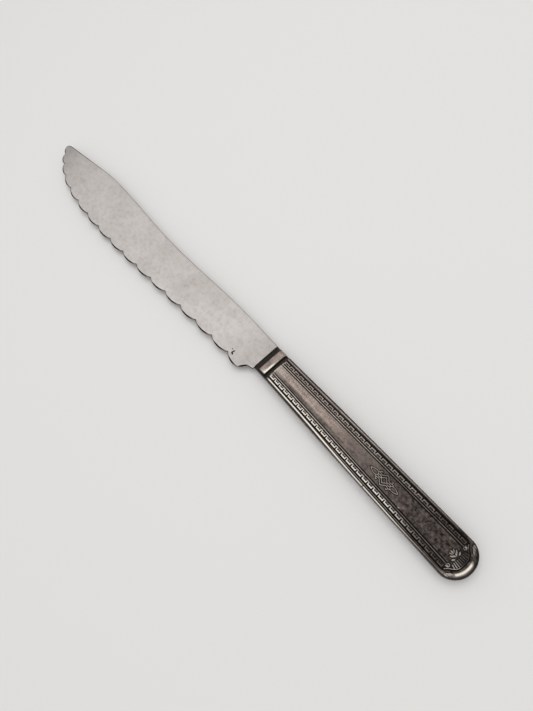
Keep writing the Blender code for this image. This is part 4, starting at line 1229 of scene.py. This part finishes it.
def make_collar_solder(bolster, handle, finishes):
    """Ring of solder between the collar's flange and the handle's mouth, a little hollow outside."""
    back, front = MOUTH_X + JOINT_GAP, MOUTH_X + JOINT_LENGTH - JOINT_GAP
    outer, inner = flange_size(handle) - FIT_GAP, spigot_size(handle) + FIT_GAP
    sections = ((front, outer), ((front + back) / 2, outer - SOLDER_HOLLOW), (back, outer), (back, inner),
                (front, inner))
    rings = []
    for x, size in sections:
        ring = rounded_ring(*size, bolster.corner)
        rings.append(np.column_stack((np.full(len(ring), x), ring)))
    faces = loft_faces(len(rings), len(rings[0]), closed=True)
    add_piece("collar_solder_line", np.vstack(rings), faces, soft_solder(finishes),
              sharp_angle=40, node="collar_solder")


def dress_node(node, material):
    """Give a node of the frame a better material."""
    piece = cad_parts[node]
    piece.data.materials.clear()
    piece.data.materials.append(material)


def set_inputs(tree, node, inputs):
    """Set a node's inputs, or link them to a socket or to the first open output of another node."""
    for name, value in inputs.items():
        if isinstance(value, bpy.types.Node):
            value = next(socket for socket in value.outputs if socket.enabled)
        if isinstance(value, bpy.types.NodeSocket):
            tree.links.new(value, node.inputs[name])
        else:
            node.inputs[name].default_value = value


def add_node(tree, kind, inputs, **settings):
    """Add a node with its settings, and set or link its inputs."""
    node = tree.nodes.new("ShaderNode" + kind)
    for name, value in settings.items():
        setattr(node, name, value)
    set_inputs(tree, node, inputs)
    return node


def new_material(name, metallic, roughness):
    """Material with its tree, its shader and its place on the piece."""
    material = bpy.data.materials.new(name)
    material.use_nodes = True
    tree = material.node_tree
    shader = tree.nodes["Principled BSDF"]
    set_inputs(tree, shader, {"Metallic": metallic, "Roughness": roughness})
    place = add_node(tree, "TexCoord", {}).outputs["Object"]
    return material, tree, shader, place


def per_metre(millimetres):
    """Scale of a noise whose waves have this length; its marks are about half as wide."""
    return 1000.0 / millimetres


def satin_stainless_steel(finishes):
    """Stainless strip with a lengthwise ground satin: soft grey, faint streaks, dull stains, a rusty pit,
    painted shade on the rim, faces darker toward the tip.
    """
    material, tree, shader, place = new_material("satin_ground_stainless_steel", metallic=1.0, roughness=0.42)
    # Real grinding lines are under 0.1 mm apart; they are drawn 0.5 mm apart so that they show
    stretch = add_node(tree, "Mapping", {"Vector": place, "Scale": (0.05, 1.0, 1.0)})
    grind = add_node(tree, "TexNoise", {"Vector": stretch, "Scale": per_metre(0.5), "Detail": 4.0,
                                        "Roughness": 0.6})
    cloud = add_node(tree, "TexNoise", {"Vector": place, "Scale": per_metre(14.0), "Detail": 9.0,
                                        "Roughness": 0.72})
    speck = add_node(tree, "TexNoise", {"Vector": place, "Scale": per_metre(1.6), "Detail": 4.0})
    stain = add_node(tree, "MapRange", {"Value": cloud, "From Min": 0.4, "From Max": 0.7, "To Max": 0.34})
    dots = add_node(tree, "MapRange", {"Value": speck, "From Min": 0.45, "From Max": 0.8, "To Max": 0.28})
    streaks = add_node(tree, "MapRange", {"Value": grind, "From Min": 0.3, "From Max": 0.7, "To Max": 0.12})
    marks = add_node(tree, "Math", {0: stain, 1: dots}, operation="ADD")
    dull = add_node(tree, "Math", {0: marks, 1: streaks}, operation="ADD", use_clamp=True)
    metal = add_node(tree, "Mix", {SHARE: dull, FIRST: (*finishes.steel, 1),
                                   SECOND: (*finishes.steel_stain, 1)}, data_type="RGBA")
    pit = add_node(tree, "Attribute", {}, attribute_name="pit").outputs["Fac"]
    painted_shade_and_darkening = add_node(tree, "Attribute", {}, attribute_name="painted_shade_and_darkening").outputs["Fac"]
    # The pit's rust colour also paints the shade along the rim and the darkening of the faces
    rust_and_shade = add_node(tree, "Math", {0: pit, 1: painted_shade_and_darkening}, operation="MAXIMUM")
    colour = add_node(tree, "Mix", {SHARE: rust_and_shade, FIRST: metal, SECOND: (*finishes.pit, 1)}, data_type="RGBA")
    rough = add_node(tree, "MapRange", {"Value": dull, "To Min": 0.38, "To Max": 0.5})
    bump = add_node(tree, "Bump", {"Height": grind, "Strength": 0.12, "Distance": 0.05 * MM})
    set_inputs(tree, shader, {"Base Color": colour, "Roughness": rough, "Normal": bump})
    return material


def tarnished_silver_plate(name, finishes, roughness):
    """Struck and plated nickel silver: warm grey and blotchy, black in hollows and painted shade, darkened by
    painted dark reflection, bright where hands rub it and where highlights are painted.
    """
    material, tree, shader, place = new_material(name, metallic=1.0, roughness=roughness)
    hollow_and_shade = add_node(tree, "Attribute", {}, attribute_name="hollow_and_shade").outputs["Fac"]
    wear_and_highlight = add_node(tree, "Attribute", {}, attribute_name="wear_and_highlight").outputs["Fac"]
    broad = add_node(tree, "Attribute", {}, attribute_name="film_and_dark_reflection").outputs["Fac"]
    cloud = add_node(tree, "TexNoise", {"Vector": place, "Scale": per_metre(5.0), "Detail": 7.0,
                                        "Roughness": 0.7})
    # Real plating pits are about 0.05 mm wide; they are drawn 0.4 mm wide so that they show
    pits = add_node(tree, "TexNoise", {"Vector": place, "Scale": per_metre(0.8), "Detail": 5.0,
                                       "Roughness": 0.75})
    # Real scratches are about 0.02 mm wide; they are drawn 0.4 mm wide so that they show
    stretch = add_node(tree, "Mapping", {"Vector": place, "Scale": (0.07, 1.0, 1.0)})
    highlights = add_node(tree, "TexNoise", {"Vector": stretch, "Scale": per_metre(0.8), "Detail": 4.0,
                                       "Roughness": 0.7})
    patch = add_node(tree, "MapRange", {"Value": cloud, "From Min": 0.38, "From Max": 0.7, "To Max": 0.4})
    specks = add_node(tree, "MapRange", {"Value": pits, "From Min": 0.4, "From Max": 0.7, "To Max": 0.45})
    lines = add_node(tree, "MapRange", {"Value": highlights, "From Min": 0.45, "From Max": 0.75, "To Max": 0.3})
    marks = add_node(tree, "Math", {0: patch, 1: specks}, operation="ADD")
    marks = add_node(tree, "Math", {0: marks, 1: lines}, operation="ADD", use_clamp=True)
    spared = add_node(tree, "Math", {0: wear_and_highlight, 1: -0.9, 2: 1.0}, operation="MULTIPLY_ADD")
    marks = add_node(tree, "Math", {0: marks, 1: spared}, operation="MULTIPLY")
    # The broad tarnish and painted dark reflection are uneven, in blotches of about 0.8 mm
    blotch = add_node(tree, "TexNoise", {"Vector": place, "Scale": per_metre(1.5), "Detail": 5.0,
                                         "Roughness": 0.7})
    uneven = add_node(tree, "MapRange", {"Value": blotch, "From Min": 0.36, "From Max": 0.68,
                                         "To Min": 1.06, "To Max": 0.68})
    film_and_reflection_share = add_node(tree, "Math", {0: broad, 1: uneven}, operation="MULTIPLY")
    # Bare metal is what marks, hollows, painted shade, the broad tarnish and painted dark reflection all
    # leave open
    unmarked = add_node(tree, "Math", {0: 1.0, 1: marks}, operation="SUBTRACT")
    raised = add_node(tree, "Math", {0: 1.0, 1: hollow_and_shade}, operation="SUBTRACT")
    clear_of_film_and_reflection = add_node(tree, "Math", {0: 1.0, 1: film_and_reflection_share}, operation="SUBTRACT", use_clamp=True)
    bare = add_node(tree, "Math", {0: unmarked, 1: raised}, operation="MULTIPLY", use_clamp=True)
    bare = add_node(tree, "Math", {0: bare, 1: clear_of_film_and_reflection}, operation="MULTIPLY", use_clamp=True)
    # Rubbed plate and painted highlights take the worn plate's colour
    toned = add_node(tree, "Mix", {SHARE: wear_and_highlight, FIRST: (*finishes.plate, 1),
                                   SECOND: (*finishes.worn_plate_and_highlight, 1)}, data_type="RGBA")
    colour = add_node(tree, "Mix", {SHARE: bare, FIRST: (*finishes.tarnish_and_shade, 1), SECOND: toned},
                      data_type="RGBA")
    metal = add_node(tree, "MapRange", {"Value": bare, "From Max": 0.5, "To Min": 0.1})
    rough = add_node(tree, "MapRange", {"Value": bare, "To Min": roughness + 0.15, "To Max": roughness})
    bump = add_node(tree, "Bump", {"Height": pits, "Strength": 0.25, "Distance": 0.06 * MM})
    set_inputs(tree, shader, {"Base Color": colour, "Metallic": metal, "Roughness": rough, "Normal": bump,
                              "Specular IOR Level": 0.1})
    return material


def soft_solder(finishes):
    """Tin-lead solder, filed back and gone dull: flat grey with darker smears."""
    material, tree, shader, place = new_material("filed_soft_solder", metallic=1.0, roughness=0.5)
    smear = add_node(tree, "TexNoise", {"Vector": place, "Scale": per_metre(1.5), "Detail": 4.0})
    share = add_node(tree, "MapRange", {"Value": smear, "From Min": 0.35, "From Max": 0.7})
    colour = add_node(tree, "Mix", {SHARE: share, FIRST: (*finishes.solder, 1),
                                    SECOND: (*finishes.tarnish_and_shade, 1)}, data_type="RGBA")
    rough = add_node(tree, "MapRange", {"Value": smear, "To Min": 0.4, "To Max": 0.65})
    set_inputs(tree, shader, {"Base Color": colour, "Roughness": rough})
    return material


def pitch_cement(finishes):
    """Rosin and brick dust poured hot: brown, matte and grainy."""
    material, tree, shader, place = new_material("poured_pitch_cement", metallic=0.0, roughness=0.8)
    grain = add_node(tree, "TexNoise", {"Vector": place, "Scale": per_metre(0.6), "Detail": 5.0})
    colour = add_node(tree, "Mix", {SHARE: grain, FIRST: (*finishes.cement, 1),
                                    SECOND: (*finishes.tarnish_and_shade, 1)}, data_type="RGBA")
    bump = add_node(tree, "Bump", {"Height": grain, "Strength": 0.4, "Distance": 0.2 * MM})
    set_inputs(tree, shader, {"Base Color": colour, "Normal": bump})
    return material


def bleached_cotton(stage):
    """Plain cotton cloth laid flat: matte, nearly white."""
    material, tree, shader, place = new_material("bleached_cotton_cloth", metallic=0.0, roughness=0.9)
    # Real threads are about 0.3 mm wide; they are drawn 1 mm wide so that they show
    weave = add_node(tree, "TexNoise", {"Vector": place, "Scale": per_metre(2.0), "Detail": 3.0})
    bump = add_node(tree, "Bump", {"Height": weave, "Strength": 0.05, "Distance": 0.1 * MM})
    set_inputs(tree, shader, {"Base Color": (*stage.cloth, 1), "Specular IOR Level": 0.1, "Normal": bump})
    return material


def make_floor(stage):
    """Flat cloth under the knife."""
    bm = bmesh.new()
    bmesh.ops.create_grid(bm, x_segments=1, y_segments=1, size=CLOTH_HALF)
    mesh = bpy.data.meshes.new("cloth")
    bm.to_mesh(mesh)
    bm.free()
    mesh.materials.append(bleached_cotton(stage))
    floor = bpy.data.objects.new("cloth", mesh)
    bpy.context.scene.collection.objects.link(floor)


def make_room(stage):
    """Soft light from all round, with a dark place overhead, where the camera stands."""
    world = bpy.data.worlds.new("soft_room")
    bpy.context.scene.world = world
    world.use_nodes = True
    tree = world.node_tree
    way = add_node(tree, "TexCoord", {}).outputs["Generated"]
    axes = add_node(tree, "SeparateXYZ", {"Vector": way}).outputs
    dark_way = Vector(DARK_PLACE).normalized()
    toward_dark = add_node(tree, "VectorMath", {0: way, 1: dark_way}, operation="DOT_PRODUCT")
    angle = add_node(tree, "Math", {0: toward_dark}, operation="ARCCOSINE")
    share = add_node(tree, "Math", {0: angle, 1: math.pi / 2}, operation="DIVIDE")
    ramp = add_node(tree, "ValToRGB", {"Fac": share})
    elements = ramp.color_ramp.elements
    while len(elements) < len(ROOM_LEVELS):
        elements.new(0.5)
    for element, (degrees, level) in zip(elements, ROOM_LEVELS):
        element.position = degrees / 90
        element.color = (level, level, level, 1)
    lean = add_node(tree, "Math", {0: axes["Y"], 1: axes["Z"]}, operation="MULTIPLY")
    slope = add_node(tree, "Math", {0: lean, 1: ROOM_SLOPE, 2: 1.0}, operation="MULTIPLY_ADD")
    brightness = add_node(tree, "Math", {0: ramp, 1: slope}, operation="MULTIPLY")
    set_inputs(tree, tree.nodes["Background"], {"Color": brightness, "Strength": stage.room_light})


def make_lamp(stage):
    """One large soft lamp overhead, a little to the spine's side, that puts no highlight on the metal."""
    data = bpy.data.lights.new("soft_lamp", "AREA")
    data.shape = "DISK"
    data.size = LAMP_SIZE
    data.energy = stage.lamp_power
    lamp = bpy.data.objects.new("soft_lamp", data)
    lamp.location = LAMP_PLACE
    lamp.rotation_euler = (LAMP_AIM - lamp.location).to_track_quat("-Z", "Y").to_euler()
    lamp.visible_glossy = False
    bpy.context.scene.collection.objects.link(lamp)


def make_camera(stage):
    """Camera over the handle's end, looking down along the knife."""
    data = bpy.data.cameras.new("camera")
    data.lens = stage.lens
    data.sensor_width = SENSOR_WIDTH
    data.clip_start = CLIP_START
    camera = bpy.data.objects.new("camera", data)
    camera.location = stage.camera_place
    camera.rotation_euler = stage.camera_turn
    bpy.context.scene.collection.objects.link(camera)
    bpy.context.scene.camera = camera


class CAKEKNIFE_OT_blade(bpy.types.Operator):
    """Add the scalloped blade."""

    bl_idname = "cake_knife.add_blade"
    bl_label = "Blade"

    def execute(self, context):
        scene = context.scene
        make_blade(scene.knife_blade, scene.knife_finishes)
        return {"FINISHED"}


class CAKEKNIFE_OT_bolster(bpy.types.Operator):
    """Add the collar between the blade and the handle."""

    bl_idname = "cake_knife.add_bolster"
    bl_label = "Bolster"

    def execute(self, context):
        scene = context.scene
        make_bolster(scene.knife_bolster, scene.knife_handle, scene.knife_finishes)
        return {"FINISHED"}


class CAKEKNIFE_OT_shells(bpy.types.Operator):
    """Add the two struck halves of the handle."""

    bl_idname = "cake_knife.add_shells"
    bl_label = "Handle halves"

    def execute(self, context):
        scene = context.scene
        make_shells(scene.knife_handle, scene.knife_finishes)
        return {"FINISHED"}


class CAKEKNIFE_OT_solder(bpy.types.Operator):
    """Add the solder in the seam, at the collar and round the tang."""

    bl_idname = "cake_knife.add_solder"
    bl_label = "Solder"

    def execute(self, context):
        scene = context.scene
        make_seam_solder(scene.knife_handle, scene.knife_finishes)
        make_collar_solder(scene.knife_bolster, scene.knife_handle, scene.knife_finishes)
        dress_node("tang_solder", soft_solder(scene.knife_finishes))
        return {"FINISHED"}


class CAKEKNIFE_OT_cement(bpy.types.Operator):
    """Finish the cement inside the handle."""

    bl_idname = "cake_knife.add_cement"
    bl_label = "Cement"

    def execute(self, context):
        dress_node("handle_cement", pitch_cement(context.scene.knife_finishes))
        return {"FINISHED"}


class CAKEKNIFE_OT_stage(bpy.types.Operator):
    """Add the cloth, the light and the camera."""

    bl_idname = "cake_knife.add_stage"
    bl_label = "Stage"

    def execute(self, context):
        stage = context.scene.knife_stage
        make_floor(stage)
        make_room(stage)
        make_lamp(stage)
        make_camera(stage)
        context.scene.view_settings.view_transform = "Standard"
        return {"FINISHED"}


OPERATORS = (CAKEKNIFE_OT_blade, CAKEKNIFE_OT_bolster, CAKEKNIFE_OT_shells, CAKEKNIFE_OT_solder,
             CAKEKNIFE_OT_cement, CAKEKNIFE_OT_stage)
SETTINGS = {"knife_blade": KnifeBlade, "knife_bolster": KnifeBolster, "knife_handle": KnifeHandle,
            "knife_finishes": KnifeFinishes, "knife_stage": KnifeStage}


class CAKEKNIFE_PT_panel(bpy.types.Panel):
    """Settings of the knife and the buttons that add its pieces."""

    bl_idname = "CAKEKNIFE_PT_panel"
    bl_label = "Cake knife"
    bl_space_type = "VIEW_3D"
    bl_region_type = "UI"
    bl_category = "Cake knife"

    def draw(self, context):
        for operator in OPERATORS:
            self.layout.operator(operator.bl_idname)
        for name, group in SETTINGS.items():
            box = self.layout.box()
            for setting in group.__annotations__:
                box.prop(getattr(context.scene, name), setting)


CLASSES = (*SETTINGS.values(), *OPERATORS, CAKEKNIFE_PT_panel)


def register():
    """Add the classes and the scene's settings."""
    for item in CLASSES:
        bpy.utils.register_class(item)
    for name, group in SETTINGS.items():
        setattr(bpy.types.Scene, name, PointerProperty(type=group))


def unregister():
    """Take the classes and the scene's settings away."""
    for name in SETTINGS:
        delattr(bpy.types.Scene, name)
    for item in reversed(CLASSES):
        bpy.utils.unregister_class(item)


def main():
    """Add every piece and the stage."""
    register()
    bpy.ops.cake_knife.add_blade()
    bpy.ops.cake_knife.add_bolster()
    bpy.ops.cake_knife.add_shells()
    bpy.ops.cake_knife.add_solder()
    bpy.ops.cake_knife.add_cement()
    bpy.ops.cake_knife.add_stage()


if __name__ == "__main__":
    main()
